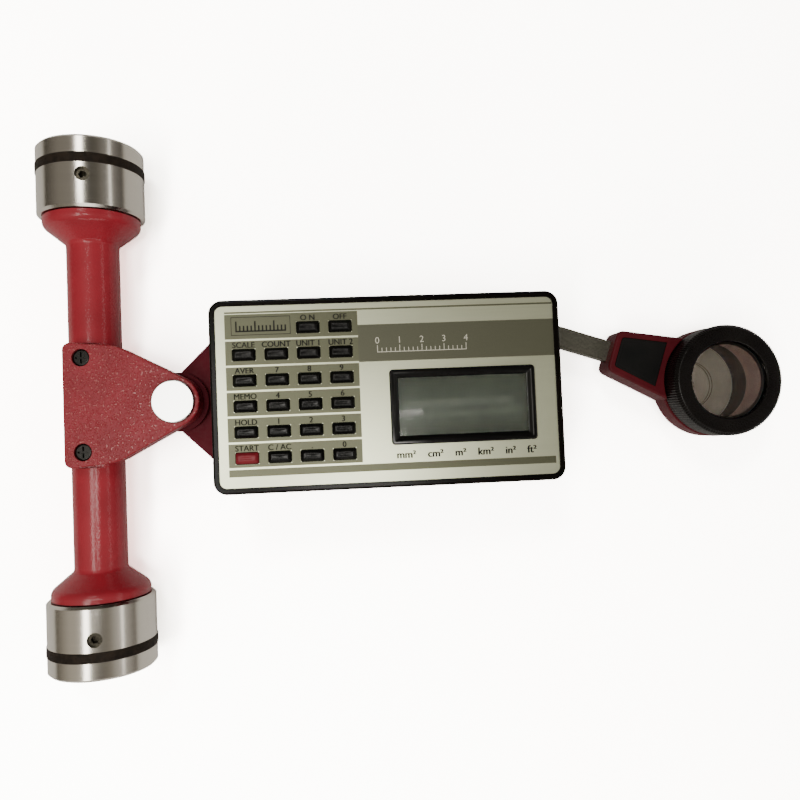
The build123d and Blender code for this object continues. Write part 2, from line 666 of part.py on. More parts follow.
def face_panel():
    """Thin metal panel let into the top of the case."""
    rim = 2 * (CASE_RIM + SEAT_GAP / 2)
    body = slab(CASE_LENGTH - rim, CASE_WIDTH - rim, CASE_CORNER_R - CASE_RIM, DECK_TOP, PANEL_TOP, CASE_MID)
    body -= key_openings(DECK_TOP - LEAD, PANEL_TOP + LEAD)
    body -= screen_opening(DECK_TOP - LEAD, PANEL_TOP + LEAD)
    return body


def screen_frame():
    """Raised black frame on the panel, bevelled down towards the window."""
    top = PANEL_TOP + SCREEN_PROUD
    body = slab(SCREEN_LONG, SCREEN_WIDE, SCREEN_CORNER_R, PANEL_TOP, top)
    body = chamfer(body.faces().sort_by(Axis.Z)[-1].edges(), SCREEN_BEVEL / 2)
    border = 2 * SCREEN_BORDER
    body -= slab(SCREEN_LONG - border, SCREEN_WIDE - border, KEY_ROUND, PANEL_TOP - LEAD, top + LEAD)
    inner_top = [e for e in body.faces().sort_by(Axis.Z)[-1].inner_wires()[0].edges()]
    body = chamfer(inner_top, SCREEN_BEVEL)
    return Pos(SCREEN_MID, SCREEN_Y, 0) * body


def screen_window():
    """Clear window in the panel's opening, under the frame's lap."""
    body = slab(WINDOW_LONG, WINDOW_WIDE, KEY_ROUND, LCD_TOP, PANEL_TOP)
    return Pos(SCREEN_MID, SCREEN_Y, 0) * body


def lcd_module():
    """Display cell between board and window."""
    body = block(-WINDOW_LONG / 2 + LCD_SLACK, WINDOW_LONG / 2 - LCD_SLACK,
                 -WINDOW_WIDE / 2 + LCD_SLACK, WINDOW_WIDE / 2 - LCD_SLACK, BOARD_TOP, LCD_TOP)
    return Pos(SCREEN_MID, SCREEN_Y, 0) * body


def circuit_board():
    """Board held against the shoulders of the case posts."""
    inset = 2 * BOARD_INSET
    body = slab(CASE_LENGTH - inset, CASE_WIDTH - inset, CASE_WALL, BOARD_BOTTOM, BOARD_TOP, CASE_MID)
    for x, y in post_places():
        body -= rod(POST_R + SEAT_GAP, BOARD_BOTTOM - LEAD, BOARD_TOP + LEAD, x, y)
    return body


def key_span():
    """Middle and size of the rectangle that the key flanges cover."""
    columns = len(KEY_ROWS[0])
    rows = len(KEY_ROWS)
    flange = 2 * (KEY_GAP + KEY_FLANGE_OUT)
    x = CASE_START + KEY_FIRST_X + (columns - 1) * KEY_PITCH_X / 2
    y = KEY_FIRST_Y - (rows - 1) * KEY_PITCH_Y / 2
    long = (columns - 1) * KEY_PITCH_X + KEY_LONG + flange
    wide = (rows - 1) * KEY_PITCH_Y + KEY_WIDE + flange
    return x, y, long, wide


def keypad_mat():
    """Rubber contact mat on the board, one key travel below the keys."""
    x, y, long, wide = key_span()
    body = slab(long + MAT_MARGIN, wide + MAT_MARGIN, MAT_MARGIN, BOARD_TOP, MAT_TOP, x, y)
    for px, py in post_places():
        body -= rod(POST_SHOULDER_R + SEAT_GAP, BOARD_TOP - LEAD, MAT_TOP + LEAD, px, py)
    return body


def key(x, y):
    """Key cap with sloping sides and the flange that keeps it under the deck."""
    top = PANEL_TOP + KEY_PROUD
    shoulder = top - KEY_SLOPE_UP
    cap = slab(KEY_LONG, KEY_WIDE, KEY_ROUND, DECK_BOTTOM - LEAD, shoulder)
    slope = 2 * KEY_SLOPE_IN
    foot = Pos(0, 0, shoulder) * RectangleRounded(KEY_LONG, KEY_WIDE, KEY_ROUND)
    crown = Pos(0, 0, top) * RectangleRounded(KEY_LONG - slope, KEY_WIDE - slope, KEY_ROUND)
    cap += loft([foot, crown], ruled=True)
    out = 2 * (KEY_GAP + KEY_FLANGE_OUT)
    flange = slab(KEY_LONG + out, KEY_WIDE + out, KEY_ROUND, KEY_SEAT, DECK_BOTTOM)
    return Pos(x, y, 0) * (cap + flange)


def battery_pack():
    """Rechargeable cells side by side on the case floor."""
    z = CASE_BOTTOM + CASE_FLOOR + CELL_R
    x1 = CASE_END - POST_INSET - POST_R - SCREW_CLEAR
    pitch = 2 * CELL_R - CELL_SHRINK
    cells = []
    for i in range(CELL_COUNT):
        y = (i - (CELL_COUNT - 1) / 2) * pitch
        cells.append(rod_x(CELL_R, x1 - CELL_LENGTH, x1, y, z))
    body = cells[0]
    for cell in cells[1:]:
        body += cell
    return body


def power_jack():
    """Charging socket through the rear wall: round nose, flange outside, body inside."""
    wall = CASE_WIDTH / 2
    z = CASE_BOTTOM + JACK_UP
    x = CASE_START + JACK_END
    body = rod_y(JACK_NOSE_R, wall - JACK_DEPTH, wall, x, z)
    body += rod_y(JACK_FLANGE_R, wall, wall + JACK_FLANGE, x, z)
    half = JACK_BODY / 2
    inner = wall - CASE_WALL - LIP_THICK
    body += block(x - half, x + half, wall - JACK_DEPTH, inner, z - half, z + half)
    return body - rod_y(JACK_BORE_R, wall - JACK_DEPTH - LEAD, wall + JACK_FLANGE + LEAD, x, z)


def screw_up(x, y, seat, length):
    """Pan-head screw driven upwards, its head below the height seat."""
    head = rod(SCREW_HEAD_R, seat - SCREW_HEAD, seat)
    head = fillet(head.edges().filter_by(GeomType.CIRCLE).sort_by(Axis.Z)[0], SCREW_HEAD_ROUND)
    slot = Rot(180, 0, 0) * cross_slot(SCREW_HEAD - seat)
    return Pos(x, y, 0) * (head + rod(SCREW_R, seat, seat + length) - slot)


def arm_screws():
    """The screws under the arm: four case screws, two in the bar, two in the holder."""
    screws = [screw_up(x, y, CASE_SCREW_SEAT, CASE_SCREW) for x, y in post_places()]
    screws += [screw_up(x, y, BAR_BOTTOM, BAR_SCREW) for x, y in bar_screw_places()]
    for along in holder_screw_places():
        seat = HOLDER_BOTTOM + SCREW_HEAD
        screws.append(at_tracer(screw_up(-along, 0, seat, BAR_TOP - seat)))
    return screws


# ---------------------------------------------------------------- measuring wheel
def at_wheel(piece):
    return Pos(WHEEL_REACH, 0, WHEEL_R) * piece


def wheel_rocker():
    """Open frame round wheel and disc that swings on the pin, so the wheel follows the paper."""
    half = ROCKER_HALF + ROCKER_RAIL
    near = WHEEL_REACH - CHEEK_NEAR
    far = WHEEL_REACH + CHEEK_FAR
    body = block(near, far + CHEEK_THICK, -half, half, ROCKER_BOTTOM, ROCKER_TOP)
    body -= block(near + CHEEK_THICK, far, -ROCKER_HALF, ROCKER_HALF, 0, FRAME_TOP)
    tail_bottom = ROCKER_PIN_UP - ROCKER_EYE_R
    tail_top = ROCKER_PIN_UP + ROCKER_EYE_R
    body += block(ROCKER_PIN_X, near, -half, half, tail_bottom, tail_top)
    body += rod_y(ROCKER_EYE_R, -half, half, ROCKER_PIN_X, ROCKER_PIN_UP)
    body -= rod_y(ROCKER_PIN_R + RUN_FIT, -half - LEAD, half + LEAD, ROCKER_PIN_X, ROCKER_PIN_UP)
    body -= rod_x(WHEEL_AXLE_R + RUN_FIT, near - CHEEK_THICK, far + CHEEK_THICK + LEAD, 0, WHEEL_R)
    return body


def rocker_pin():
    """Pin held in the frame's ears."""
    half = ROCKER_HALF + ROCKER_RAIL + TURN_GAP + EAR_THICK
    return rod_y(ROCKER_PIN_R, -half, half, ROCKER_PIN_X, ROCKER_PIN_UP)


def rocker_spring():
    """Leaf on top of the rocker's tail whose free end bears on the frame."""
    seat = ROCKER_PIN_UP + ROCKER_EYE_R
    x1 = WHEEL_REACH - CHEEK_NEAR
    x0 = x1 - SPRING_LONG
    bend = (x0 + x1) / 2
    line = [(x0, seat), (bend, seat), (x1 - SPRING_THICK, FRAME_BOTTOM - SPRING_THICK),
            (x1, FRAME_BOTTOM - SPRING_THICK), (x1, FRAME_BOTTOM),
            (x1 - 2 * SPRING_THICK, FRAME_BOTTOM), (bend - SPRING_RISE_BACK, seat + SPRING_THICK),
            (x0, seat + SPRING_THICK)]
    side = make_face(Plane.XZ * Polyline(*line, close=True))
    return extrude(side, SPRING_WIDE / 2, both=True)


def wheel_axle():
    """Fine steel axle of the measuring wheel."""
    near = -CHEEK_NEAR - WHEEL_AXLE_IN
    return at_wheel(rod_x(WHEEL_AXLE_R, near, CHEEK_FAR + CHEEK_THICK + WHEEL_AXLE_IN))


def measuring_wheel():
    """Hard steel wheel with a thin rim and dished sides."""
    half = WHEEL_WIDTH / 2
    rim = WHEEL_RIM / 2
    inner = WHEEL_R - 2 * WHEEL_DISH
    profile = [(WHEEL_AXLE_R, -half), (WHEEL_HUB_R, -half), (WHEEL_HUB_R, -half + WHEEL_DISH),
               (inner, -half + WHEEL_DISH), (WHEEL_R, -rim), (WHEEL_R, rim),
               (inner, half - WHEEL_DISH), (WHEEL_HUB_R, half - WHEEL_DISH), (WHEEL_HUB_R, half),
               (WHEEL_AXLE_R, half)]
    return at_wheel(Rot(0, 0, -90) * turned_y(profile))


def encoder_disc():
    """Slotted disc on the wheel's axle."""
    half = ENCODER_THICK / 2
    disc = rod_x(ENCODER_R, -half, half) + rod_x(ENCODER_HUB_R, -ENCODER_HUB, ENCODER_HUB)
    slot = block(-ENCODER_THICK, ENCODER_THICK, -ENCODER_SLOT / 2, ENCODER_SLOT / 2,
                 ENCODER_SLOT_IN, ENCODER_R - ENCODER_SLOT)
    for i in range(ENCODER_SLOTS):
        disc -= Rot(i * 360 / ENCODER_SLOTS, 0, 0) * slot
    disc -= rod_x(WHEEL_AXLE_R, -WHEEL_R, WHEEL_R)
    return at_wheel(Pos(ENCODER_ALONG, 0, 0) * disc)


def optical_sensor():
    """Forked light gate over the rim of the disc, fixed inside the rocker's rail."""
    x = WHEEL_REACH + ENCODER_ALONG
    z = WHEEL_R
    inner = ENCODER_R - SENSOR_COVER
    body = block(x - SENSOR_LONG / 2, x + SENSOR_LONG / 2, inner, ROCKER_HALF,
                 z - SENSOR_WIDE / 2, z + SENSOR_WIDE / 2 - ENCODER_THICK)
    return body - block(x - SENSOR_SLOT / 2, x + SENSOR_SLOT / 2, inner - LEAD,
                        ENCODER_R + TURN_GAP, 0, FRAME_TOP)


# ---------------------------------------------------------------- tracer
def bar_line():
    """Start, bend and end of the bar's centre line."""
    slope = math.radians(BAR_ANGLE)
    bend_x = LENS_REACH - BAR_SIDE / math.tan(slope)
    end = (LENS_REACH - BAR_IN_HOLDER * math.cos(slope), BAR_IN_HOLDER * math.sin(slope))
    return (BAR_START, BAR_SIDE), (bend_x, BAR_SIDE), end


def tracer_bar():
    """Flat steel bar with one bend, from under the arm frame into the holder."""
    start, bend, end = bar_line()
    half = BAR_WIDE / 2
    run = math.hypot(end[0] - bend[0], end[1] - bend[1])
    straight = block(start[0], bend[0], bend[1] - half, bend[1] + half, BAR_BOTTOM, BAR_TOP)
    slant = Rot(0, 0, -BAR_ANGLE) * block(0, run, -half, half, BAR_BOTTOM, BAR_TOP)
    slant = Pos(bend[0], bend[1], 0) * slant
    body = straight + slant + rod(half, BAR_BOTTOM, BAR_TOP, *bend)
    body += rod(half, BAR_BOTTOM, BAR_TOP, *start)
    for x, y in bar_screw_places():
        body -= rod(SCREW_R + SCREW_CLEAR, BAR_BOTTOM - LEAD, BAR_TOP + LEAD, x, y)
    for along in holder_screw_places():
        body -= at_tracer(rod(SCREW_R, BAR_BOTTOM - LEAD, BAR_TOP + LEAD, -along))
    return body


def wedge(far, near, far_half, near_half, corner, z0, z1):
    """A slab that widens towards the tracing point, along -X of the holder's own frame."""
    body = prism([(-far, -far_half), (-near, -near_half), (-near, near_half), (-far, far_half)], z0, z1)
    ends = [e for e in upright_edges(body) if abs(e.center().X + far) < LEAD]
    return fillet(ends, corner)


def tracer_holder():
    """Cast grip that takes the bar at one end and carries the magnifier at the other."""
    grip = wedge(HOLDER_END, HOLDER_ROOT, HOLDER_END_HALF, HOLDER_ROOT_HALF, HOLDER_CORNER_R,
                 HOLDER_BOTTOM, HOLDER_TOP)
    grip = fillet(grip.faces().sort_by(Axis.Z)[-1].edges(), HOLDER_EDGE)
    grip -= rod(RING_R + TURN_GAP, COLLAR_TOP, RING_TOP)
    collar = rod(COLLAR_R, HOLDER_BOTTOM, COLLAR_TOP)
    collar = fillet(collar.edges().filter_by(GeomType.CIRCLE).sort_by(Axis.Z)[-1], HOLDER_EDGE / 2)
    body = grip + collar + rod(SKIRT_R, SKIRT_BOTTOM, HOLDER_BOTTOM + LEAD)
    body -= rod(HOLDER_BORE_R, SKIRT_BOTTOM - LEAD, RING_TOP)
    half = BAR_WIDE / 2 + SEAT_GAP
    body -= block(-HOLDER_END - BAR_WIDE, -BAR_IN_HOLDER + SEAT_GAP, -half, half, BAR_BOTTOM, BAR_TOP)
    body -= pad_shape(HOLDER_TOP - PAD_DEPTH, RING_TOP, SEAT_GAP)
    for along in holder_screw_places():
        body -= rod(SCREW_HEAD_R + SCREW_CLEAR, 0, HOLDER_BOTTOM + SCREW_HEAD, -along)
        body -= rod(SCREW_R + SCREW_CLEAR, 0, BAR_BOTTOM + LEAD, -along)
    return at_tracer(body)


def pad_shape(z0, z1, grow):
    return wedge(PAD_FAR + grow, PAD_NEAR - grow, PAD_FAR_HALF + grow, PAD_NEAR_HALF + grow,
                 PAD_CORNER_R, z0, z1)


def holder_pad():
    """Black finger pad let into the top of the grip."""
    body = pad_shape(HOLDER_TOP - PAD_DEPTH, HOLDER_TOP + PAD_PROUD, 0)
    return at_tracer(fillet(body.faces().sort_by(Axis.Z)[-1].edges(), PAD_PROUD))


def tracer_base():
    """Clear disc that slides on the paper and carries the tracing mark."""
    body = rod(BASE_R, 0, BASE_THICK)
    body = chamfer(body.edges().filter_by(GeomType.CIRCLE).sort_by(Axis.Z)[0], BASE_CHAMFER)
    return at_tracer(body)


def lens_ring():
    """Knurled ring that screws in the holder's bore and holds the lens."""
    body = rod(RING_R, RING_BOTTOM, RING_TOP)
    body = chamfer(body.edges().filter_by(GeomType.CIRCLE), RING_CHAMFER)
    groove = rod(RING_KNURL_R, 0, RING_TOP + LEAD, RING_R + RING_KNURL_R - RING_KNURL_DEPTH)
    grooves = [Rot(0, 0, i * 360 / RING_KNURL) * groove for i in range(RING_KNURL)]
    body -= grooves
    body += rod(HOLDER_BORE_R - RUN_FIT, RING_SLEEVE_BOTTOM, RING_BOTTOM + LEAD)
    body -= rod(LENS_R, RING_SLEEVE_BOTTOM - LEAD, LENS_SEAT)
    body -= rod(RING_MOUTH_R, LENS_SEAT - LEAD, RING_TOP + LEAD)
    return Pos(LENS_REACH, 0, 0) * body


def lens():
    """Plano-convex glass, flat side down."""
    edge_top = LENS_SEAT
    rim = RING_MOUTH_R - TURN_GAP
    radius = (rim ** 2 + LENS_SAG ** 2) / (2 * LENS_SAG)
    ball = Pos(0, 0, edge_top + LENS_SAG - radius) * Sphere(radius)
    dome = ball & rod(rim, edge_top - LEAD, RING_TOP)
    return Pos(LENS_REACH, 0, 0) * (rod(LENS_R, edge_top - LENS_EDGE, edge_top) + dome)


def lens_retainer():
    """Thin threaded ring that holds the lens up against its seat."""
    top = LENS_SEAT - LENS_EDGE
    return Pos(LENS_REACH, 0, 0) * tube(LENS_R, LENS_R - RETAINER_WALL, top - RETAINER_HEIGHT, top)


# ---------------------------------------------------------------- write the pieces
def pieces():
    """Every node's solids, by name."""
    made = {
        "roller_housing": roller_housing(),
        "bracket_plate": bracket_plate(),
        "bracket_screws": bracket_screws(),
        "axle_bearings": axle_bearings(),
        "pivot_shaft": pivot_shaft(),
        "pivot_nut": pivot_nut(),
        "roller_axle": roller_axle(),
        "left_drum": roller_drum(1),
        "right_drum": roller_drum(-1),
        "tyres": tyres(),
        "roller_set_screws": roller_set_screws(),
        "arm_frame": arm_frame(),
        "pivot_bearings": pivot_bearings(),
        "case_bottom": case_bottom(),
        "case_top": case_top(),
        "face_panel": face_panel(),
        "screen_frame": screen_frame(),
        "screen_window": screen_window(),
        "lcd_module": lcd_module(),
        "circuit_board": circuit_board(),
        "keypad_mat": keypad_mat(),
        "battery_pack": battery_pack(),
        "power_jack": power_jack(),
        "arm_screws": arm_screws(),
        "rocker_pin": rocker_pin(),
        "wheel_rocker": wheel_rocker(),
        "rocker_spring": rocker_spring(),
        "optical_sensor": optical_sensor(),
        "wheel_axle": wheel_axle(),
        "measuring_wheel": measuring_wheel(),
        "encoder_disc": encoder_disc(),
        "tracer_bar": tracer_bar(),
        "tracer_holder": tracer_holder(),
        "holder_pad": holder_pad(),
        "tracer_base": tracer_base(),
        "lens_ring": lens_ring(),
        "lens": lens(),
        "lens_retainer": lens_retainer(),
    }
    for name, x, y in key_places():
        made["key_" + name] = key(x, y)
    return made


def main():
    os.makedirs("parts", exist_ok=True)
    for name, shape in pieces().items():
        solids = []
        for piece in shape if isinstance(shape, list) else [shape]:
            solids.extend((Pos(PIVOT_X, 0, 0) * piece).solids())
        whole = solids[0] if len(solids) == 1 else Compound(solids)
        export_step(whole, "parts/" + name + ".step")
        print(name, len(solids))


main()
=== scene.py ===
# %% [markdown]
# A linear planimeter measures areas on a drawing. Two rollers carry a T-shaped carriage, an arm
# with the counter swings on it, and a magnifier at the far end is led round the outline by hand.
# The solid model is already exact, so this notebook only dresses it: it gives every part its
# finish, and builds a few parts again as finer surfaces. We start by loading that model as a fixed
# frame.

# %% Load the model
import json
import math

import bmesh
import bpy
import numpy as np
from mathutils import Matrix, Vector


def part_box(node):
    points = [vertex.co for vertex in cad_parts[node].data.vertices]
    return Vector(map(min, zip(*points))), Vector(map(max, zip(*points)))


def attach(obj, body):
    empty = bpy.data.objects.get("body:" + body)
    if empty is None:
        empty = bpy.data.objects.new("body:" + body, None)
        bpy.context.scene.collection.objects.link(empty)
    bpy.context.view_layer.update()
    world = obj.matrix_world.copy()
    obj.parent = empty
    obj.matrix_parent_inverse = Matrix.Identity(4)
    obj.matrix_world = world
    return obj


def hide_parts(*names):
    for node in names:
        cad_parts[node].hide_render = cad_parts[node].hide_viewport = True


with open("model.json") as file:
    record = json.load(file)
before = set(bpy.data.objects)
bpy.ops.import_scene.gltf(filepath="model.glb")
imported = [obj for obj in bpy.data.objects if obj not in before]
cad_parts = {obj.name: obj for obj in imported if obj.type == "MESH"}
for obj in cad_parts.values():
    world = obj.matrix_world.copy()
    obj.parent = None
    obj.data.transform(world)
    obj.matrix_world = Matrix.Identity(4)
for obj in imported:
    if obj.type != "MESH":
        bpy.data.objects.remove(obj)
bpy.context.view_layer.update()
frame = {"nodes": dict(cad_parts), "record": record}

MM = 0.001          # Blender counts in metres, and we think in millimetres
nodes = frame["nodes"]

# %% [markdown]
# Everything we add has to sit on the model, so its places are read from the boxes of its parts.
# Typing the numbers in would work too, until a size of the model changes.

# %% Read places from the frame
def middle(name):
    """Middle of a part's box, as (x, y, z)."""
    return tuple((low + high) / 2 for low, high in zip(*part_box(name)))


pivot_x = middle("pivot_shaft")[0]
axle_x, _, axle_z = middle("roller_axle")
ring_x = middle("lens_ring")[0]
ring_low, ring_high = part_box("lens_ring")
near_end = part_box("case_top")[0].x
panel_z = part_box("face_panel")[1].z
print("pivot x %.4f, magnifier x %.4f, panel top %.4f" % (pivot_x, ring_x, panel_z))

# %% [markdown]
# A finish in Blender is a small network of nodes. A picture wrapped round the part would do as
# well, but it needs an unwrapped surface and goes soft close up, so ours are worked out from noise.
# They all begin the same way: a Principled shader, and Object coordinates, which stay fixed to a
# part when it moves. A Noise texture with a chosen number of grains per millimetre then varies the
# surface.


# %% Helpers for finishes
def new_finish(name):
    """A new material with its node tree, its Principled shader and its Object coordinates."""
    material = bpy.data.materials.new(name)
    material.use_nodes = True
    tree = material.node_tree
    place = tree.nodes.new("ShaderNodeTexCoord").outputs["Object"]
    return material, tree, tree.nodes["Principled BSDF"], place


def grains(tree, place, per_mm, detail=3.0, stretch=(1.0, 1.0, 1.0)):
    """Noise from 0 to 1, that many grains in a millimetre, squeezed along each axis by stretch."""
    mapping = tree.nodes.new("ShaderNodeMapping")
    mapping.inputs["Scale"].default_value = stretch
    noise = tree.nodes.new("ShaderNodeTexNoise")
    noise.inputs["Scale"].default_value = per_mm / MM
    noise.inputs["Detail"].default_value = detail
    tree.links.new(place, mapping.inputs["Vector"])
    tree.links.new(mapping.outputs["Vector"], noise.inputs["Vector"])
    return noise.outputs["Fac"]


def spread(tree, value, low, high, start=0.35, end=0.65):
    """The value's range from start to end stretched over low to high."""
    node = tree.nodes.new("ShaderNodeMapRange")
    node.inputs["From Min"].default_value = start
    node.inputs["From Max"].default_value = end
    node.inputs["To Min"].default_value = low
    node.inputs["To Max"].default_value = high
    tree.links.new(value, node.inputs["Value"])
    return node.outputs["Result"]


print("made new_finish, grains and spread")

# %% [markdown]
# Noise alone is only a number from 0 to 1. More helpers turn it into something to see: a colour, a
# roughness, a shift of a colour that is already there, and a height. The height is a Bump node: it
# bends the light as low relief would and leaves the mesh alone, which suits a grain of a few
# hundredths of a millimetre. The clear coat has a normal of its own and needs the same relief.


# %% Helpers for colour and relief
def between(tree, factor, one, other, blend="MIX"):
    """A colour from one to the other as the factor goes from 0 to 1; each may be a socket."""
    mix = tree.nodes.new("ShaderNodeMix")
    mix.data_type = "RGBA"
    mix.blend_type = blend
    for socket, value in {"Factor": factor, "A": one, "B": other}.items():
        if isinstance(value, bpy.types.NodeSocket):
            tree.links.new(value, mix.inputs[socket])
        else:
            mix.inputs[socket].default_value = value if socket == "Factor" else (*value, 1.0)
    return mix.outputs["Result"]


def ramp(tree, value, stops, steps="LINEAR"):
    """A colour read from a row of (position, tone) at the value."""
    node = tree.nodes.new("ShaderNodeValToRGB")
    node.color_ramp.interpolation = steps
    while len(node.color_ramp.elements) < len(stops):
        node.color_ramp.elements.new(0.5)
    for stop, (position, tone) in zip(node.color_ramp.elements, stops):
        stop.position = position
        stop.color = (*tone, 1.0)
    tree.links.new(value, node.inputs["Fac"])
    return node.outputs["Color"]


def colour_by(tree, shader, noise, one, other):
    """Gives the shader a colour that goes from one to the other with the noise."""
    tone = between(tree, spread(tree, noise, 0.0, 1.0), one, other)
    tree.links.new(tone, shader.inputs["Base Color"])


def rough_by(tree, shader, value, low, high, start=0.35, end=0.65):
    """Gives the shader a roughness from low to high as the value goes from start to end."""
    tree.links.new(spread(tree, value, low, high, start, end), shader.inputs["Roughness"])


def tint(tree, shader, value, colour):
    """Draws the colour that the shader has towards another as the value goes from 0 to 1."""
    base = shader.inputs["Base Color"]
    tree.links.new(between(tree, value, base.links[0].from_socket, colour), base)


def relief(tree, shader, height, depth):
    """Lets the height, 0 to 1, stand up to depth metres out of the surface and its clear coat."""
    bump = tree.nodes.new("ShaderNodeBump")
    bump.inputs["Strength"].default_value = 1.0
    bump.inputs["Distance"].default_value = depth
    tree.links.new(height, bump.inputs["Height"])
    tree.links.new(bump.outputs["Normal"], shader.inputs["Normal"])
    tree.links.new(bump.outputs["Normal"], shader.inputs["Coat Normal"])


def dress(material, *names):
    """Gives the finish to those parts of the frame."""
    for name in names:
        mesh = nodes[name].data
        mesh.materials.clear()
        mesh.materials.append(material)
    print(material.name, "->", ", ".join(names) or "pieces of our own")


print("made between, ramp, colour_by, rough_by, tint, relief and dress")

# %% [markdown]
# The castings are painted red. The axle tube has smooth stove enamel with a slight orange peel
# under a clear coat, and the arm has the same enamel in a darker red. Flat red would look like
# plastic, so the paint has slow patches of two close reds, and a fine grain in its gloss and its
# height.

# %% Smooth red enamel
PATCH_PER_MM = 0.12
COAT_ROUGH = 0.1


def paint(name, deep, light, specular):
    """Paint before it gets a grain: slow patches of two reds, and the strength of its shine."""
    material, tree, shader, place = new_finish(name)
    colour_by(tree, shader, grains(tree, place, PATCH_PER_MM), deep, light)
    shader.inputs["Specular IOR Level"].default_value = specular
    return material, tree, shader, place


def enamel(name, deep, light, per_mm, depth, rough, coat=0.0, specular=0.3):
    """Smooth paint: a fine even grain in gloss and height, under a clear coat of that weight."""
    material, tree, shader, place = paint(name, deep, light, specular)
    grain = grains(tree, place, per_mm, detail=1.0)
    rough_by(tree, shader, grain, rough * 0.9, rough * 1.15)
    shader.inputs["Coat Weight"].default_value = coat
    shader.inputs["Coat Roughness"].default_value = COAT_ROUGH
    relief(tree, shader, grain, depth)
    return material


red_gloss = enamel("red_gloss", (0.35, 0.015, 0.028), (0.41, 0.019, 0.035),
                   2.2, 0.045 * MM, 0.5, coat=0.5)
red_dark = enamel("red_dark", (0.098, 0.0085, 0.015), (0.122, 0.0105, 0.019),
                  1.3, 0.03 * MM, 0.5, specular=0.08)
dress(red_gloss, "roller_housing")
dress(red_dark, "arm_frame")

# %% [markdown]
# The plate over the tube has wrinkle enamel, and that needs more than a grain. Its blisters are
# small, round and separate, so we cut the noise: below a threshold the height is flat, and above it
# the height rises softly. The tops are glossier than the floor between them, and drawn paler as a
# painted highlight. Real blisters in the mesh would take millions of faces for the same few
# highlights.

# %% Wrinkle enamel
WRINKLE_PER_MM = 1.6
WRINKLE_HEIGHT = 0.14 * MM
WRINKLE_CUT = (0.5, 0.64)       # noise where a blister starts, and where it has its full height
# paler red for the tops of the blisters: a painted highlight
BLISTER_HIGHLIGHT_RED = (0.56, 0.17, 0.17)
FLOOR_ROUGH, TOP_ROUGH = 0.43, 0.18

red_wrinkle, tree, shader, place = paint("red_wrinkle",
                                         (0.29, 0.014, 0.025), (0.35, 0.019, 0.033), 0.4)
noise = grains(tree, place, WRINKLE_PER_MM, detail=2.0)
blisters = spread(tree, noise, 0.0, 1.0, *WRINKLE_CUT)
# painted highlight: the tops of the blisters are drawn paler
tint(tree, shader, spread(tree, blisters, 0.0, 0.6, 0.3, 1.0), BLISTER_HIGHLIGHT_RED)
rough_by(tree, shader, blisters, FLOOR_ROUGH, TOP_ROUGH, 0.0, 1.0)
relief(tree, shader, blisters, WRINKLE_HEIGHT)
dress(red_wrinkle, "bracket_plate")

# %% [markdown]
# The drums are turned on a lathe. The tool leaves rings round the axle that are far too fine to
# model, and they make a reflection a little soft. The rings follow two numbers: the distance from
# the axle, and the place along it. We work both out from Object coordinates and read the noise
# there, so that the rings run round the rim and turn into circles on the flat end.


# %% Turned metal
def ring_place(tree, place, across, centre):
    """(distance from a turning axis, place along it, 0); across names the two other axes."""
    parts = tree.nodes.new("ShaderNodeSeparateXYZ")
    tree.links.new(place, parts.inputs["Vector"])
    flat = tree.nodes.new("ShaderNodeCombineXYZ")
    for socket, axis, start in zip("XY", across, centre):
        shift = tree.nodes.new("ShaderNodeMath")
        shift.operation = "SUBTRACT"
        shift.inputs[1].default_value = start
        tree.links.new(parts.outputs[axis], shift.inputs[0])
        tree.links.new(shift.outputs[0], flat.inputs[socket])
    length = tree.nodes.new("ShaderNodeVectorMath")
    length.operation = "LENGTH"
    tree.links.new(flat.outputs["Vector"], length.inputs[0])
    along = ({"X", "Y", "Z"} - set(across)).pop()
    rings = tree.nodes.new("ShaderNodeCombineXYZ")
    tree.links.new(length.outputs["Value"], rings.inputs["X"])
    tree.links.new(parts.outputs[along], rings.inputs["Y"])
    return rings.outputs["Vector"]


def bare_metal(material, grain, colour, rough, depth, dull, uneven, metallic=1.0):
    """Makes a metal of the new finish: the grain varies its tone, its roughness and its height."""
    tree, shader = material.node_tree, material.node_tree.nodes["Principled BSDF"]
    colour_by(tree, shader, grain, tuple(dull * part for part in colour), colour)
    rough_by(tree, shader, grain, rough * uneven[0], rough * uneven[1])
    shader.inputs["Metallic"].default_value = metallic
    relief(tree, shader, grain, depth)
    return material


def turned_metal(name, colour, rough, across, centre, per_mm=7.0):
    """Bare metal with lathe rings round an axis."""
    material, tree, _, place = new_finish(name)
    rings = grains(tree, ring_place(tree, place, across, centre), per_mm, detail=4.0)
    return bare_metal(material, rings, colour, rough, 0.0002 * MM, 0.95, (0.93, 1.08))


turned_steel = turned_metal("turned_steel", (0.68, 0.645, 0.58), 0.19, "XZ", (axle_x, axle_z))
bright_steel = turned_metal("bright_steel", (0.92, 0.92, 0.9), 0.14, "XY", (pivot_x, 0.0), 3.0)
dress(turned_steel, "left_drum", "right_drum", "roller_axle")
dress(bright_steel, "pivot_shaft", "pivot_nut")

# %% [markdown]
# The other metals have no rings. The bar is dark and dull, the screws are blacked, the bearings and
# the measuring wheel are ground, and the leaf spring is blue-grey. Each is a metal with a fine even
# grain, so one function makes them all. Blacked steel is a little less metallic, because a film of
# oxide lies over the metal.


# %% Plain metals
def plain_metal(name, colour, rough, per_mm=2.0, depth=0.003 * MM, metallic=1.0):
    """Ground, plated or blacked metal: a fine even grain, and a little uneven in tone."""
    material, tree, _, place = new_finish(name)
    grain = grains(tree, place, per_mm)
    return bare_metal(material, grain, colour, rough, depth, 0.8, (0.8, 1.3), metallic)


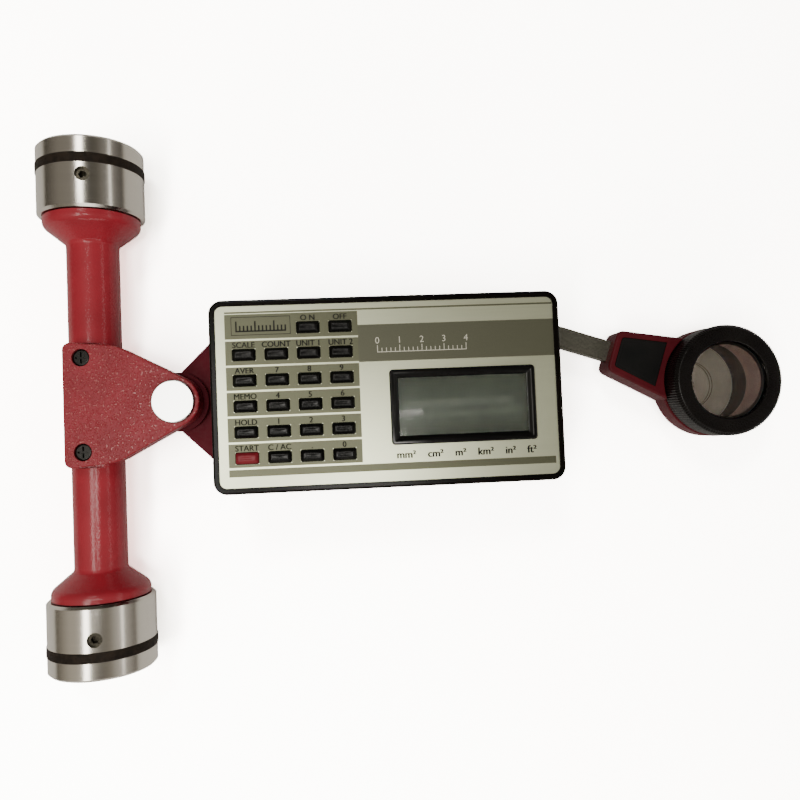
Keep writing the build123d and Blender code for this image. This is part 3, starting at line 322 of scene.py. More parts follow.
dress(plain_metal("ground_steel", (0.62, 0.61, 0.58), 0.24, 1.5, 0.001 * MM), "axle_bearings",
      "pivot_bearings", "measuring_wheel", "wheel_axle", "rocker_pin", "wheel_rocker", "power_jack")
dress(plain_metal("dark_steel", (0.2, 0.195, 0.16), 0.38), "tracer_bar")
dress(plain_metal("black_screw", (0.012, 0.011, 0.009), 0.3, metallic=0.6),
      "bracket_screws", "arm_screws")
dress(plain_metal("screw_steel", (0.055, 0.05, 0.038), 0.32), "roller_set_screws")
dress(plain_metal("spring_steel", (0.42, 0.42, 0.45), 0.25), "rocker_spring")

# %% [markdown]
# The dark parts are not one black. The tyres are matt rubber that has picked up dust, the case is
# moulded with a faint sheen, the screen's frame is polished, and the finger pad is soft and dull.
# The parts inside the case, such as the board and the battery, are plastic too. One function makes
# them all from a table, because only colour, gloss and grain differ from one to the next.


# %% Rubber and moulded plastic
def moulded(name, deep, light, rough, per_mm, height, patch=0.15, specular=0.22):
    """Plastic or rubber: slow patches of dust in the colour, fine grain in gloss and height."""
    material, tree, shader, place = new_finish(name)
    colour_by(tree, shader, grains(tree, place, patch, detail=5.0), deep, light)
    grain = grains(tree, place, per_mm)
    rough_by(tree, shader, grain, rough * 0.8, rough * 1.2)
    shader.inputs["Specular IOR Level"].default_value = specular
    relief(tree, shader, grain, height * MM)
    return material


# Parts, deep and light tone, roughness, grains per mm, their height in mm, patches per mm, specular
PLASTICS = {
    "tyre_rubber": (["tyres"], (0.012, 0.008, 0.005), (0.026, 0.017, 0.011),
                    0.7, 3.0, 0.02, 0.5, 0.2),
    "black_case": (["case_top", "case_bottom"],
                   (0.003, 0.0022, 0.0015), (0.005, 0.004, 0.003), 0.2, 4.0, 0.001, 0.15, 0.12),
    "black_gloss": (["screen_frame"],
                    (0.002, 0.002, 0.002), (0.004, 0.004, 0.0035), 0.1, 2.0, 0.0005, 0.15, 0.4),
    "key_black": ([], (0.003, 0.003, 0.003), (0.006, 0.006, 0.005), 0.2, 4.0, 0.0005),
    "key_red": ([], (0.2, 0.014, 0.024), (0.26, 0.02, 0.03), 0.34, 4.0, 0.001),
    "ring_black": (["lens_retainer"], (0.004, 0.003, 0.003), (0.008, 0.0065, 0.006),
                   0.3, 3.0, 0.002),
    "pad_black": (["holder_pad"], (0.003, 0.003, 0.003), (0.007, 0.006, 0.006),
                  0.5, 5.0, 0.01, 0.15, 0.2),
    "mat_rubber": (["keypad_mat"], (0.20, 0.20, 0.19), (0.26, 0.26, 0.25), 0.6, 3.0, 0.006),
    "disc_plastic": (["encoder_disc", "optical_sensor"],
                     (0.02, 0.02, 0.025), (0.035, 0.035, 0.04), 0.3, 3.0, 0.002),
    "cell_wrap": (["battery_pack"], (0.02, 0.10, 0.06), (0.03, 0.14, 0.08), 0.25, 1.0, 0.004),
    "board_green": (["circuit_board"], (0.01, 0.09, 0.04), (0.015, 0.12, 0.05), 0.35, 6.0, 0.004),
    "lcd_grey": (["lcd_module"], (0.14, 0.155, 0.13), (0.16, 0.175, 0.145),
                 0.22, 3.0, 0.0005, 0.15, 0.5),
}
plastics = {}
for name, (parts, *look) in PLASTICS.items():
    plastics[name] = moulded(name, *look)
    dress(plastics[name], *parts)

# %% [markdown]
# Inside the magnifier the ring and its holder are painted lighter and browner than outside: this is
# painted light, standing in for the light that falls in through the lens. A second material on the
# inner faces would need them to be picked out by hand, so we use two distances instead: a point
# belongs to the bore where it is near to the upright axis and below the mouth of the ring. Both are
# turned into 0 or 1, and their product tints the finish with the painted light.

# %% Painted light in the magnifier's bore
SEAM = 0.02 * MM            # half of the width over which the tone changes
MOUTH_DEPTH = 0.9 * MM      # the tone starts this far below the top of the ring


def from_axis(tree, place, centre_x, unit=1.0):
    """Distance from the upright axis through (centre_x, 0), in that unit: |place - axis| / unit."""
    shift = tree.nodes.new("ShaderNodeMapping")
    shift.inputs["Location"].default_value = (-centre_x / unit, 0.0, 0.0)
    shift.inputs["Scale"].default_value = (1 / unit, 1 / unit, 0.0)
    length = tree.nodes.new("ShaderNodeVectorMath")
    length.operation = "LENGTH"
    tree.links.new(place, shift.inputs["Vector"])
    tree.links.new(shift.outputs["Vector"], length.inputs[0])
    return length.outputs["Value"]


def warm_bore(material, reach, colour):
    """Painted light: tints the finish nearer to the magnifier's axis than reach, under the mouth.
    """
    tree, shader = material.node_tree, material.node_tree.nodes["Principled BSDF"]
    place = tree.nodes.new("ShaderNodeTexCoord").outputs["Object"]
    near = spread(tree, from_axis(tree, place, ring_x), 1.0, 0.0, reach - SEAM, reach + SEAM)
    parts = tree.nodes.new("ShaderNodeSeparateXYZ")
    tree.links.new(place, parts.inputs["Vector"])
    mouth_z = ring_high.z - MOUTH_DEPTH
    under = spread(tree, parts.outputs["Z"], 1.0, 0.0, mouth_z - 0.05 * MM, mouth_z)
    both = tree.nodes.new("ShaderNodeMath")
    both.operation = "MULTIPLY"
    tree.links.new(near, both.inputs[0])
    tree.links.new(under, both.inputs[1])
    tint(tree, shader, both.outputs[0], colour)


holder_red = enamel("holder_red", (0.085, 0.006, 0.011), (0.11, 0.008, 0.014),
                    1.3, 0.03 * MM, 0.45, specular=0.15)
# painted light on the inner faces of the holder and the ring: lighter and browner inside the bore
warm_bore(holder_red, 12.6 * MM, (0.09, 0.046, 0.032))
warm_bore(plastics["ring_black"], 11.7 * MM, (0.48, 0.33, 0.31))
dress(holder_red, "tracer_holder")

# %% [markdown]
# The panel on top of the case is thin aluminium, brushed along its length and anodised a pale
# champagne. Brushing is noise stretched a hundredfold along one axis: it varies the tone and the
# roughness across the lines and hardly along them. The anodised film makes it a little less
# metallic than bare metal.

# %% Brushed panel
BRUSH_PER_MM = 9.0
BRUSH_STRETCH = (0.01, 1.0, 1.0)
face_metal, tree, _, place = new_finish("face_metal")
lines = grains(tree, place, BRUSH_PER_MM, detail=4.0, stretch=BRUSH_STRETCH)
bare_metal(face_metal, lines, (0.74, 0.775, 0.56), 0.3, 0.0008 * MM, 0.97, (0.95, 1.05), 0.75)
dress(face_metal, "face_panel")

# %% [markdown]
# Clear parts need light to go through them. The lens is glass with its index of refraction, so that
# it bends what lies under it. The window over the display and the foot under the magnifier are
# clear plastic. Faint smears in the roughness keep their gloss from being dead.


# %% Clear parts
def clear(name, tone, ior, rough):
    """Transparent material: all light goes through, bent by the index; smears in its roughness."""
    material, tree, shader, place = new_finish(name)
    shader.inputs["Base Color"].default_value = (*tone, 1.0)
    shader.inputs["Transmission Weight"].default_value = 1.0
    shader.inputs["IOR"].default_value = ior
    smears = grains(tree, place, 0.2, detail=4.0)
    rough_by(tree, shader, smears, rough * 0.5, rough * 1.5)
    return material


GLASS_IOR = 1.5
PLASTIC_IOR = 1.45
FOOT_TONE = (1.0, 0.98, 0.95)
window_clear = clear("window_clear", (0.9, 0.93, 0.9), PLASTIC_IOR, 0.045)
lens_glass = clear("lens_glass", (1.0, 0.97, 0.92), GLASS_IOR, 0.01)
base_clear = clear("base_clear", FOOT_TONE, PLASTIC_IOR, 0.03)
dress(window_clear, "screen_window")

# %% [markdown]
# The foot under the magnifier carries the target that is led along the outline: a dot and two thin
# rings. They are fine scratches filled with paint, so they are a change of colour only. A ramp with
# hard steps, read at the distance from the magnifier's axis, draws circles that stay sharp at any
# size.

# %% Target in the clear foot
TARGET_REACH = 12.0 * MM
TARGET_PAINT = (0.45, 0.4, 0.34)
# Millimetres from the axis where each tone starts
TARGET = [(0.0, TARGET_PAINT), (0.25, FOOT_TONE), (1.4, TARGET_PAINT), (1.6, FOOT_TONE),
          (6.6, TARGET_PAINT), (6.8, FOOT_TONE)]


def target_marks(material, centre_x, marks):
    """Rings and a dot on a clear part: a ramp over the distance from the upright axis, in steps."""
    tree = material.node_tree
    place = tree.nodes.new("ShaderNodeTexCoord").outputs["Object"]
    stops = [(start * MM / TARGET_REACH, tone) for start, tone in marks]
    tone = ramp(tree, from_axis(tree, place, centre_x, TARGET_REACH), stops, "CONSTANT")
    tree.links.new(tone, tree.nodes["Principled BSDF"].inputs["Base Color"])
    print("steps in the target:", len(marks))


target_marks(base_clear, ring_x, TARGET)
dress(base_clear, "tracer_base")

# %% [markdown]
# Now the surfaces: each is a grid of points worked out from two numbers, and its mesh is the quads
# between neighbours. Modelling by hand would do for one part, but a formula gives all 22 key caps
# at once and follows the frame. The first helper turns such a grid into a closed mesh. Where a row
# of the grid shrinks to a point, its doubles are merged into one pole, and then all faces are
# turned outwards.

# %% Grid of points to mesh
SHARP = math.radians(38)        # edges sharper than this stay crisp
MERGE = 0.0005 * MM


def skin(name, points, material, body):
    """Piece whose quads join a grid of points (rows, columns, 3); each row closes on itself."""
    rows, columns = points.shape[:2]
    row, column = np.meshgrid(np.arange(rows - 1), np.arange(columns), indexing="ij")
    ahead = (column + 1) % columns
    quads = np.stack([row * columns + column, row * columns + ahead,
                      (row + 1) * columns + ahead, (row + 1) * columns + column], axis=-1)
    return piece(name, points.reshape(-1, 3), quads.reshape(-1, 4).tolist(), material, body)


def piece(name, points, faces, material, body, closed=True):
    """Object from points and faces: doubles merged, faces outwards, smooth but for sharp edges.

    An open sheet keeps the side that its faces already have, and stays flat.
    """
    mesh = bpy.data.meshes.new(name)
    mesh.from_pydata(points.tolist(), [], faces)
    work = bmesh.new()
    work.from_mesh(mesh)
    bmesh.ops.remove_doubles(work, verts=work.verts, dist=MERGE)
    if closed:
        bmesh.ops.recalc_face_normals(work, faces=work.faces)
    work.to_mesh(mesh)
    work.free()
    if closed:
        mesh.shade_smooth()
        mesh.set_sharp_from_angle(angle=SHARP)
    else:
        mesh.shade_flat()
    mesh.materials.append(material)
    made = bpy.data.objects.new(name, mesh)
    bpy.context.scene.collection.objects.link(made)
    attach(made, body)
    print(name, "faces:", len(mesh.polygons))
    return made


# %% [markdown]
# Nothing that was moulded or turned has a dead sharp corner, and it is the small roundings that
# catch the light. We round the profile before it is turned or stacked, because a bevel on the
# finished mesh would be slower and less even. A parabola through three points is the simplest curve
# for it.

# %% Rounded profile and stacked outlines
def stacked(low, high, flat, height):
    """Grid of flat outlines (rows, columns, 2) about the middle of a box, each at its height."""
    x = (low.x + high.x) / 2 + flat[..., 0]
    y = (low.y + high.y) / 2 + flat[..., 1]
    return np.stack([x, y, np.broadcast_to(height[:, None], x.shape)], axis=-1)


def rounded(corners, reach, steps=5):
    """Outline whose corners become short parabolas that start and end at reach from the corner.

    arc(t) = (1-t)^2 start + 2t(1-t) corner + t^2 end, for all the corners at once.
    """
    corners = np.array(corners, float)
    reach = np.array(reach, float)[:, None]
    back = np.roll(corners, 1, axis=0) - corners
    ahead = np.roll(corners, -1, axis=0) - corners
    start = corners + back / np.linalg.norm(back, axis=1, keepdims=True) * reach
    end = corners + ahead / np.linalg.norm(ahead, axis=1, keepdims=True) * reach
    t = np.linspace(0.0, 1.0, steps)[None, :, None]
    arcs = ((1 - t) ** 2 * start[:, None] + 2 * t * (1 - t) * corners[:, None]
            + t ** 2 * end[:, None])
    return arcs.reshape(-1, corners.shape[1])


print("points on a rounded square:", len(rounded([(0, 0), (1, 0), (1, 1), (0, 1)], [0.1] * 4)))

# %% [markdown]
# The magnifier's ring is turned from black plastic. Its rim is knurled for the fingers: fine
# upright ridges. A bump could draw them on a plain ring, but it would look flat where the ridges
# stand against the paper, so here they are real. We turn a profile round the upright axis, and on
# the outer wall the radius rises and falls.

# %% Knurled ring
KNURLS = 132
POINTS_PER_KNURL = 6
KNURL_DEPTH = 0.28 * MM
MOUTH_R = 11.5 * MM
BORE_R = 11.6 * MM
SLEEVE_R = 12.35 * MM
LIP = 0.9 * MM
MOUTH_EDGE = 0.2 * MM
RING_SLOPE = 1.0 * MM
SLEEVE_LENGTH = 5.0 * MM
ring_r = (ring_high.y - ring_low.y) / 2
shoulder_z = ring_low.z + SLEEVE_LENGTH


def knurled_ring():
    """Points r(s, a) of the ring: profile radius less depth * wall(s) * (1 - |cos(N a / 2)|)."""
    top = ring_high.z
    corners = [
        (BORE_R, ring_low.z), (SLEEVE_R, ring_low.z), (SLEEVE_R, shoulder_z),
        (ring_r - RING_SLOPE / 2, shoulder_z), (ring_r, shoulder_z + RING_SLOPE / 2),
        (ring_r, top - RING_SLOPE), (ring_r - RING_SLOPE, top),
        (MOUTH_R + MOUTH_EDGE, top), (MOUTH_R, top - MOUTH_EDGE),
        (MOUTH_R, top - LIP), (BORE_R, top - LIP),
    ]
    reach = np.array([0, 0, 0, 0.2, 0.2, 0.25, 0.3, 0.05, 0.05, 0.05, 0]) * MM
    outline = rounded(corners, reach)
    outline = np.vstack([outline, outline[:1]])
    radius, height = outline.T
    angle = np.linspace(0.0, 2 * np.pi, KNURLS * POINTS_PER_KNURL, endpoint=False)
    wall = np.clip((radius - (ring_r - RING_SLOPE)) / (0.6 * RING_SLOPE), 0.0, 1.0)
    ridge = 1 - np.abs(np.cos(KNURLS * angle / 2))
    r = radius[:, None] - KNURL_DEPTH * wall[:, None] * ridge[None, :]
    flat = np.stack([r * np.cos(angle), r * np.sin(angle)], axis=-1)
    return stacked(ring_low, ring_high, flat, height)


ring = skin("lens_ring_knurled", knurled_ring(), plastics["ring_black"], "magnifier")
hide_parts("lens_ring")

# %% [markdown]
# The lens is flat below and domed above. Glass shows every facet of the mesh that bends the light,
# so the dome is turned again with many more steps than the solid has; smooth shading alone wouldn't
# change where the light goes. The dome is part of a sphere.

# %% Lens
LENS_SEGMENTS = 160
LENS_STEPS = 36
LENS_PLAY = 0.05 * MM       # dome to the mouth of the ring
lens_low, lens_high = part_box("lens")


def lens_surface():
    """z(r) = rim + sqrt(R^2 - r^2) - sqrt(R^2 - rim_r^2) for the dome; a wall and a flat below."""
    edge_r = (lens_high.y - lens_low.y) / 2
    rim_r = MOUTH_R - LENS_PLAY
    rim_z = ring_high.z - LIP
    sag = lens_high.z - rim_z
    curve = (rim_r ** 2 + sag ** 2) / (2 * sag)
    r = np.linspace(0.0, rim_r, LENS_STEPS)
    dome = rim_z + np.sqrt(curve ** 2 - r ** 2) - math.sqrt(curve ** 2 - rim_r ** 2)
    radius = np.concatenate([r, [edge_r, edge_r], np.linspace(edge_r, 0.0, LENS_STEPS)[1:]])
    height = np.concatenate([dome, [rim_z, lens_low.z], np.full(LENS_STEPS - 1, lens_low.z)])
    angle = np.linspace(0.0, 2 * np.pi, LENS_SEGMENTS, endpoint=False)
    flat = radius[:, None, None] * np.stack([np.cos(angle), np.sin(angle)], axis=-1)
    return stacked(lens_low, lens_high, flat, height)


glass = skin("lens_domed", lens_surface(), lens_glass, "magnifier")
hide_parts("lens")

# %% [markdown]
# A key cap is a small rounded box with sloping sides, soft edges and a slightly hollow top that
# catches the light. A bevelled cube comes close, but its hollow would have to be dented in by hand.
# Our outline is a superellipse: like an ellipse, but with a high power in place of the square,
# which makes it nearly a rectangle. Stacked outlines of different sizes make the cap, down to the
# flange that keeps it under the panel.

# %% Key caps
CAP_LONG = 6.0 * MM
CAP_WIDE = 2.95 * MM
CAP_SLOPE_IN = 0.7 * MM
CAP_SLOPE_UP = 0.8 * MM
CAP_BORDER = 0.4 * MM       # flat border round the hollow
CAP_DISH = 0.12 * MM
CAP_FLANGE = 0.6 * MM
CAP_POWER = 9.0
CAP_SEGMENTS = 72
HOLLOW_STEPS = 6


def cap_surface(low, high):
    """Superellipses |x/a|^n + |y/b|^n = 1, each inset from the cap's outline, up to the dish."""
    flange = (high.x - low.x - CAP_LONG) / 2
    shoulder = high.z - CAP_SLOPE_UP
    deck = low.z + CAP_FLANGE
    corners = [(-flange, low.z), (-flange, deck), (0.0, deck), (0.0, shoulder),
               (CAP_SLOPE_IN, high.z), (CAP_SLOPE_IN + CAP_BORDER, high.z)]
    reach = np.array([0.02, 0.02, 0.02, 0.16, 0.22, 0.0]) * MM
    inset, height = rounded(corners, reach).T
    half_long, half_wide = CAP_LONG / 2 - inset, CAP_WIDE / 2 - inset
    hollow = np.linspace(1.0, 0.0, HOLLOW_STEPS + 1)[1:]
    half_long = np.concatenate([[0.0], half_long, half_long[-1] * hollow])
    half_wide = np.concatenate([[0.0], half_wide, half_wide[-1] * hollow])
    height = np.concatenate([[low.z], height, high.z - CAP_DISH * (1 - hollow ** 2)])
    angle = np.linspace(0.0, 2 * np.pi, CAP_SEGMENTS, endpoint=False)
    bend = 2 / CAP_POWER
    out_x = np.sign(np.cos(angle)) * np.abs(np.cos(angle)) ** bend
    out_y = np.sign(np.sin(angle)) * np.abs(np.sin(angle)) ** bend
    flat = np.stack([half_long[:, None] * out_x, half_wide[:, None] * out_y], axis=-1)
    return stacked(low, high, flat, height)


key_names = sorted(name for name in nodes if name.startswith("key_"))
bodies = frame["record"]["behaviour"]["bodies"]
key_bodies = {name: body for body, names in bodies.items() for name in names}
for name in key_names:
    slot = "key_red" if name == "key_start" else "key_black"
    cap = skin(name.replace("key", "cap"), cap_surface(*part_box(name)), plastics[slot],
               key_bodies[name])
    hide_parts(name)
print("key caps:", len(key_names))

# %% [markdown]
# The display has a raised frame with round corners, whose banked sides make it shine on one side
# and lie dark on the other. It could be a box with a hole and bevels; we take a small profile and
# carry it round a rounded rectangle, because then each slope is where we put it.

# %% Frame of the display
FRAME_CORNER = 1.0 * MM
FRAME_BORDER = 2.3 * MM
FRAME_ROUND = 0.35 * MM     # rounding of the frame's outer edge
SMALLEST_CORNER = 0.15 * MM
frame_low, frame_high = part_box("screen_frame")


def round_rectangle(half_long, half_wide, corner, steps=8):
    """Outlines with quarter-circle corners: centre + corner * (cos a, sin a) over each quarter.

    The three sizes are arrays, one value for each outline; the result is (outlines, points, 2).
    """
    quarter = np.linspace(0.0, np.pi / 2, steps)
    angle = np.concatenate([quarter + turn * np.pi / 2 for turn in range(4)])
    sign_x = np.repeat([1, -1, -1, 1], steps)
    sign_y = np.repeat([1, 1, -1, -1], steps)
    x = sign_x * (half_long - corner)[:, None] + corner[:, None] * np.cos(angle)
    y = sign_y * (half_wide - corner)[:, None] + corner[:, None] * np.sin(angle)
    return np.stack([x, y], axis=-1)


def banked_loop(low, high, profile, corner):
    """Surface of a profile (inset, height) round a box's outline; its last row meets the first."""
    inset, height = np.vstack([profile, profile[:1]]).T
    half_long = (high.x - low.x) / 2 - inset
    half_wide = (high.y - low.y) / 2 - inset
    flat = round_rectangle(half_long, half_wide, np.maximum(corner - inset, SMALLEST_CORNER))
    return stacked(low, high, flat, height)


low_z, top_z = frame_low.z, frame_high.z
frame_profile = rounded(
    [(0.0, low_z), (0.0, top_z - FRAME_ROUND), (FRAME_ROUND, top_z), (FRAME_BORDER / 2, top_z),
     (FRAME_BORDER - 0.25 * MM, low_z + 0.35 * MM), (FRAME_BORDER, low_z + 0.3 * MM),
     (FRAME_BORDER, low_z)],
    np.array([0.0, 0.1, 0.1, 0.2, 0.08, 0.04, 0.0]) * MM)
bezel = skin("screen_bezel", banked_loop(frame_low, frame_high, frame_profile, FRAME_CORNER),
             plastics["black_gloss"], "arm")
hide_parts("screen_frame")

# %% [markdown]
# The liquid crystal cell is a thin grey-green plate of glass under the window. A plain box would
# do, but its corners would show as sharp points through the window, so it is built from the same
# rounded outlines.

# %% Cell of the display
CELL_DOWN = 0.25 * MM       # gap under the window
CELL_CORNER = 0.4 * MM
NEARLY_WHOLE = 0.999        # how much of the half width the innermost outline has lost
cell_low, cell_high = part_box("lcd_module")


def cell_block(low, high, top):
    """Closed slab: outlines from the middle of its floor out to the edge, up, and in again."""
    wide = (high.y - low.y) / 2
    inset = np.array([wide, 0.0, 0.0, wide]) * NEARLY_WHOLE
    height = np.array([low.z, low.z, top, top])
    half_long = (high.x - low.x) / 2 - inset
    flat = round_rectangle(half_long, wide - inset, np.minimum(CELL_CORNER, wide - inset))
    return stacked(low, high, flat, height)


crystal = skin("lcd_cell", cell_block(cell_low, cell_high, cell_high.z - CELL_DOWN),
               plastics["lcd_grey"], "arm")
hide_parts("lcd_module")

# %% [markdown]
# The panel is screen-printed: olive blocks behind the keys, a dark band over the display, thin
# rules, and small legends over the keys. Ink lies on the metal and hides its shine, so it is a
# finish of its own: one colour, thinner where the mesh of the screen has held it back. The olive
# ink lets more of the metal through than the others.

# %% Inks
def print_finish(name, colour, rough=0.45, metallic=0.3, specular=0.4):
    """Screen ink: one colour with a fine mottle where the screen's mesh has left it thinner."""
    material, tree, shader, place = new_finish(name)
    mottle = grains(tree, place, 4.0, detail=2.0)
    colour_by(tree, shader, mottle, colour, tuple(1.12 * part for part in colour))
    rough_by(tree, shader, mottle, rough * 0.9, rough * 1.1)
    shader.inputs["Metallic"].default_value = metallic
    shader.inputs["Specular IOR Level"].default_value = specular
    print(name, "rough %.2f, metallic %.2f" % (rough, metallic))
    return material


ink_olive = print_finish("ink_olive", (0.115, 0.119, 0.074), 0.36, 0.55)
ink_band = print_finish("ink_band", (0.1, 0.102, 0.066), 0.42)
ink_dark = print_finish("ink_dark", (0.012, 0.012, 0.01), 0.6, 0.0, 0.15)
ink_pale = print_finish("ink_pale", (0.62, 0.6, 0.5))

# %% [markdown]
# The blocks could be painted on the panel by a texture, but ink is a layer with a real, tiny
# thickness, and its edges should stay sharp close up. So a block is a sheet: a grid of lines at its
# own edges and at the edges of every key opening, with the cells over the openings left out.
# Solidify gives the sheet its thickness.

# %% Printed blocks
INK = 0.02 * MM
KEY_HOLE_GAP = 0.15 * MM
BLOCK_START, BLOCK_END = 4.2, 39.5              # millimetres from the near end of the case
RULE_Y = [15.05, 8.1, 1.4, -5.4, -12.25, -19.0]     # bare rules between the rows of keys
RULE_HALF = 0.26
BLOCK_TOP = 21.9
STRIPES = {     # start and end from the near end of the case, low and high edge, ink
    "print_band": (BLOCK_END, 92.7, 8.1, 18.1, ink_band),
    "print_foot": (BLOCK_START, 91.8, -21.2, -19.3, ink_olive),
    "print_head": (BLOCK_START, 92.6, 22.15, 22.6, ink_olive),
}


def windowed_sheet(name, x0, x1, y0, y1, windows, ink):
    """Flat sheet over the panel: the cells between all edges, without the cells in a window."""
    windows = [w for w in windows if w[0] < x1 and w[1] > x0 and w[2] < y1 and w[3] > y0]
    xs = np.unique(np.round(np.clip([x0, x1] + [e for w in windows for e in w[:2]], x0, x1), 7))
    ys = np.unique(np.round(np.clip([y0, y1] + [e for w in windows for e in w[2:]], y0, y1), 7))
    mid_x, mid_y = np.meshgrid((xs[1:] + xs[:-1]) / 2, (ys[1:] + ys[:-1]) / 2, indexing="ij")
    open_cell = np.zeros(mid_x.shape, bool)
    for wx0, wx1, wy0, wy1 in windows:
        open_cell |= (mid_x > wx0) & (mid_x < wx1) & (mid_y > wy0) & (mid_y < wy1)
    i, j = np.nonzero(~open_cell)
    grid_x, grid_y = np.meshgrid(xs, ys, indexing="ij")
    points = np.stack([grid_x, grid_y, np.full(grid_x.shape, panel_z + INK)], axis=-1)
    here, beyond = i * len(ys) + j, (i + 1) * len(ys) + j
    faces = np.stack([here, beyond, beyond + 1, here + 1], axis=-1).tolist()
    sheet = piece(name, points.reshape(-1, 3), faces, ink, "arm", closed=False)
    thick = sheet.modifiers.new("ink", "SOLIDIFY")
    thick.thickness = 1.2 * INK     # a little more than it stands up, so that it meets the panel
    thick.offset = -1.0


key_holes = []
half_x, half_y = CAP_LONG / 2 + KEY_HOLE_GAP, CAP_WIDE / 2 + KEY_HOLE_GAP
for name in key_names:
    x, y, _ = middle(name)
    key_holes.append((x - half_x, x + half_x, y - half_y, y + half_y))
tops = [BLOCK_TOP] + [y - RULE_HALF for y in RULE_Y[:-1]]
for number, (top, rule) in enumerate(zip(tops, RULE_Y)):
    windowed_sheet("print_row_%d" % (number + 1),
                   near_end + BLOCK_START * MM, near_end + BLOCK_END * MM,
                   (rule + RULE_HALF) * MM, top * MM, key_holes, ink_olive)
for name, (start, end, low, high, ink) in STRIPES.items():
    windowed_sheet(name, near_end + start * MM, near_end + end * MM, low * MM, high * MM, [], ink)

# %% [markdown]
# The legends name what each key does, in plain words and numbers. Drawing letters by hand would
# take days, and Blender's text object gives them at once. A piece has to be a mesh that sits at the
# origin, so we turn each text into a mesh, move its points over the key and gather all of one ink
# in one piece. The strokes of the built-in font are thin, so each line is laid down more than once,
# a hair apart.

# %% Legends
CAP_HEIGHT = 1.55 * MM
LETTER_SHARE = 0.73     # height of a capital letter as a share of the font's size
LEGEND_UP = 1.9 * MM
STRIKE = 0.045 * MM     # how far each laying goes to the side
LEGENDS = {
    "on": "O N", "off": "OFF", "scale": "SCALE", "count": "COUNT",
    "unit_a": "UNIT 1", "unit_b": "UNIT 2",
    "average": "AVER", "memory": "MEMO", "hold": "HOLD", "clear": "C / AC", "point": ".",
}
UNITS_LINE = "mm²    cm²    m²    km²    in²    ft²"
UNITS_SIZE = 2.8 * MM
UNITS_X, UNITS_Y = near_end + 67.6 * MM, -18.1 * MM


def letters(body, size, x, y):
    """Points and faces of a line of text on the panel, its baseline at y, as thick as the ink."""
    curve = bpy.data.curves.new("letters", "FONT")
    curve.body = body
    curve.size = size
    curve.align_x = "CENTER"
    curve.extrude = INK / 2
    curve.resolution_u = 4
    holder = bpy.data.objects.new("letters", curve)
    bpy.context.scene.collection.objects.link(holder)
    view = bpy.context.evaluated_depsgraph_get()
    mesh = bpy.data.meshes.new_from_object(holder.evaluated_get(view))
    points = np.empty(len(mesh.vertices) * 3)
    mesh.vertices.foreach_get("co", points)
    points = points.reshape(-1, 3) + (x, y, panel_z + INK * 1.5)
    faces = [tuple(face.vertices) for face in mesh.polygons]
    bpy.data.objects.remove(holder)
    bpy.data.meshes.remove(mesh)
    return points, faces


def gather(name, lines, ink):
    """One piece from many lots of (points, faces): points end to end, and faces counted on."""
    points, faces, start = [], [], 0
    for line_points, line_faces in lines:
        points.append(line_points)
        faces += [tuple(index + start for index in face) for face in line_faces]
        start += len(line_points)
    return piece(name, np.vstack(points), faces, ink, "arm")


font_size = CAP_HEIGHT / LETTER_SHARE
dark_lines = []
for name in key_names:
    x, y, _ = middle(name)
    key = name[len("key_"):]
    words = LEGENDS.get(key, key.upper())
    for strike in (-STRIKE, STRIKE):
        dark_lines.append(letters(words, font_size, x + strike, y + LEGEND_UP))
for strike in (-2 * STRIKE, 0.0, 2 * STRIKE):
    dark_lines.append(letters(UNITS_LINE, UNITS_SIZE, UNITS_X + strike, UNITS_Y))
gather("print_legends", dark_lines, ink_dark)

# %% [markdown]
# Two more marks are plain scales. A thin frame by the first keys holds a short dark scale, and the
# band over the display carries a pale one with numbers. An array of cubes would draw a scale, but
# the tall ticks would need a second array on top. Bars are simple enough to work out: we list the
# edges of each, and get the corners of all of them at once.

# %% Bars and ticks
TICK_LOW, TICK_HIGH = 0.9, 2.0      # bottom and top of a bar over the panel, in thicknesses of ink


def bars(edges):
    """Points and faces of flat boxes from rows (x0, x1, y0, y1): eight corners, six sides each."""
    edges = np.array(edges, float)
    x = edges[:, [0, 1, 1, 0, 0, 1, 1, 0]]
    y = edges[:, [2, 2, 3, 3, 2, 2, 3, 3]]
    z = np.broadcast_to(panel_z + INK * np.repeat([TICK_LOW, TICK_HIGH], 4), x.shape)
    sides = np.array([[0, 3, 2, 1], [4, 5, 6, 7], [0, 1, 5, 4],
                      [1, 2, 6, 5], [2, 3, 7, 6], [3, 0, 4, 7]])
    faces = sides[None] + 8 * np.arange(len(edges))[:, None, None]
    return np.stack([x, y, z], axis=-1).reshape(-1, 3), faces.reshape(-1, 4).tolist()


def scale_edges(start, base, count, pitch, short, tall, every, wide):
    """Edges of a base line and of its ticks; each tick whose number divides by every is tall."""
    number = np.arange(count + 1)
    x = start + pitch * number
    top = base + np.where(number % every == 0, tall, short)
    ticks = np.stack([x - wide / 2, x + wide / 2, np.full(count + 1, base), top], axis=-1)
    line = [[start - wide / 2, x[-1] + wide / 2, base - wide, base]]
    return np.vstack([line, ticks])


def frame_edges(x0, x1, y0, y1, wide):
    """Edges of the four sides of a thin frame."""
    return [[x0, x1, y0, y0 + wide], [x0, x1, y1 - wide, y1],
            [x0, x0 + wide, y0 + wide, y1 - wide], [x1 - wide, x1, y0 + wide, y1 - wide]]


print("corners of a bar:", len(bars([(0, 1, 0, 1)])[0]))

# %% Two scales
DARK_TICK, PALE_TICK = 0.38 * MM, 0.2 * MM
TALL_EVERY = 5
PLATE_X = (near_end + 5.9 * MM, near_end + 21.6 * MM)
PLATE_Y = (16.3 * MM, 21.2 * MM)
PLATE_LINE = 0.14 * MM
BAND_X, BAND_Y = near_end + 44.6 * MM, 10.7 * MM
BAND_PITCH = 1.2 * MM
BAND_TICKS = 20
NUMBER_SIZE, NUMBER_UP = 2.5 * MM, 2.2 * MM

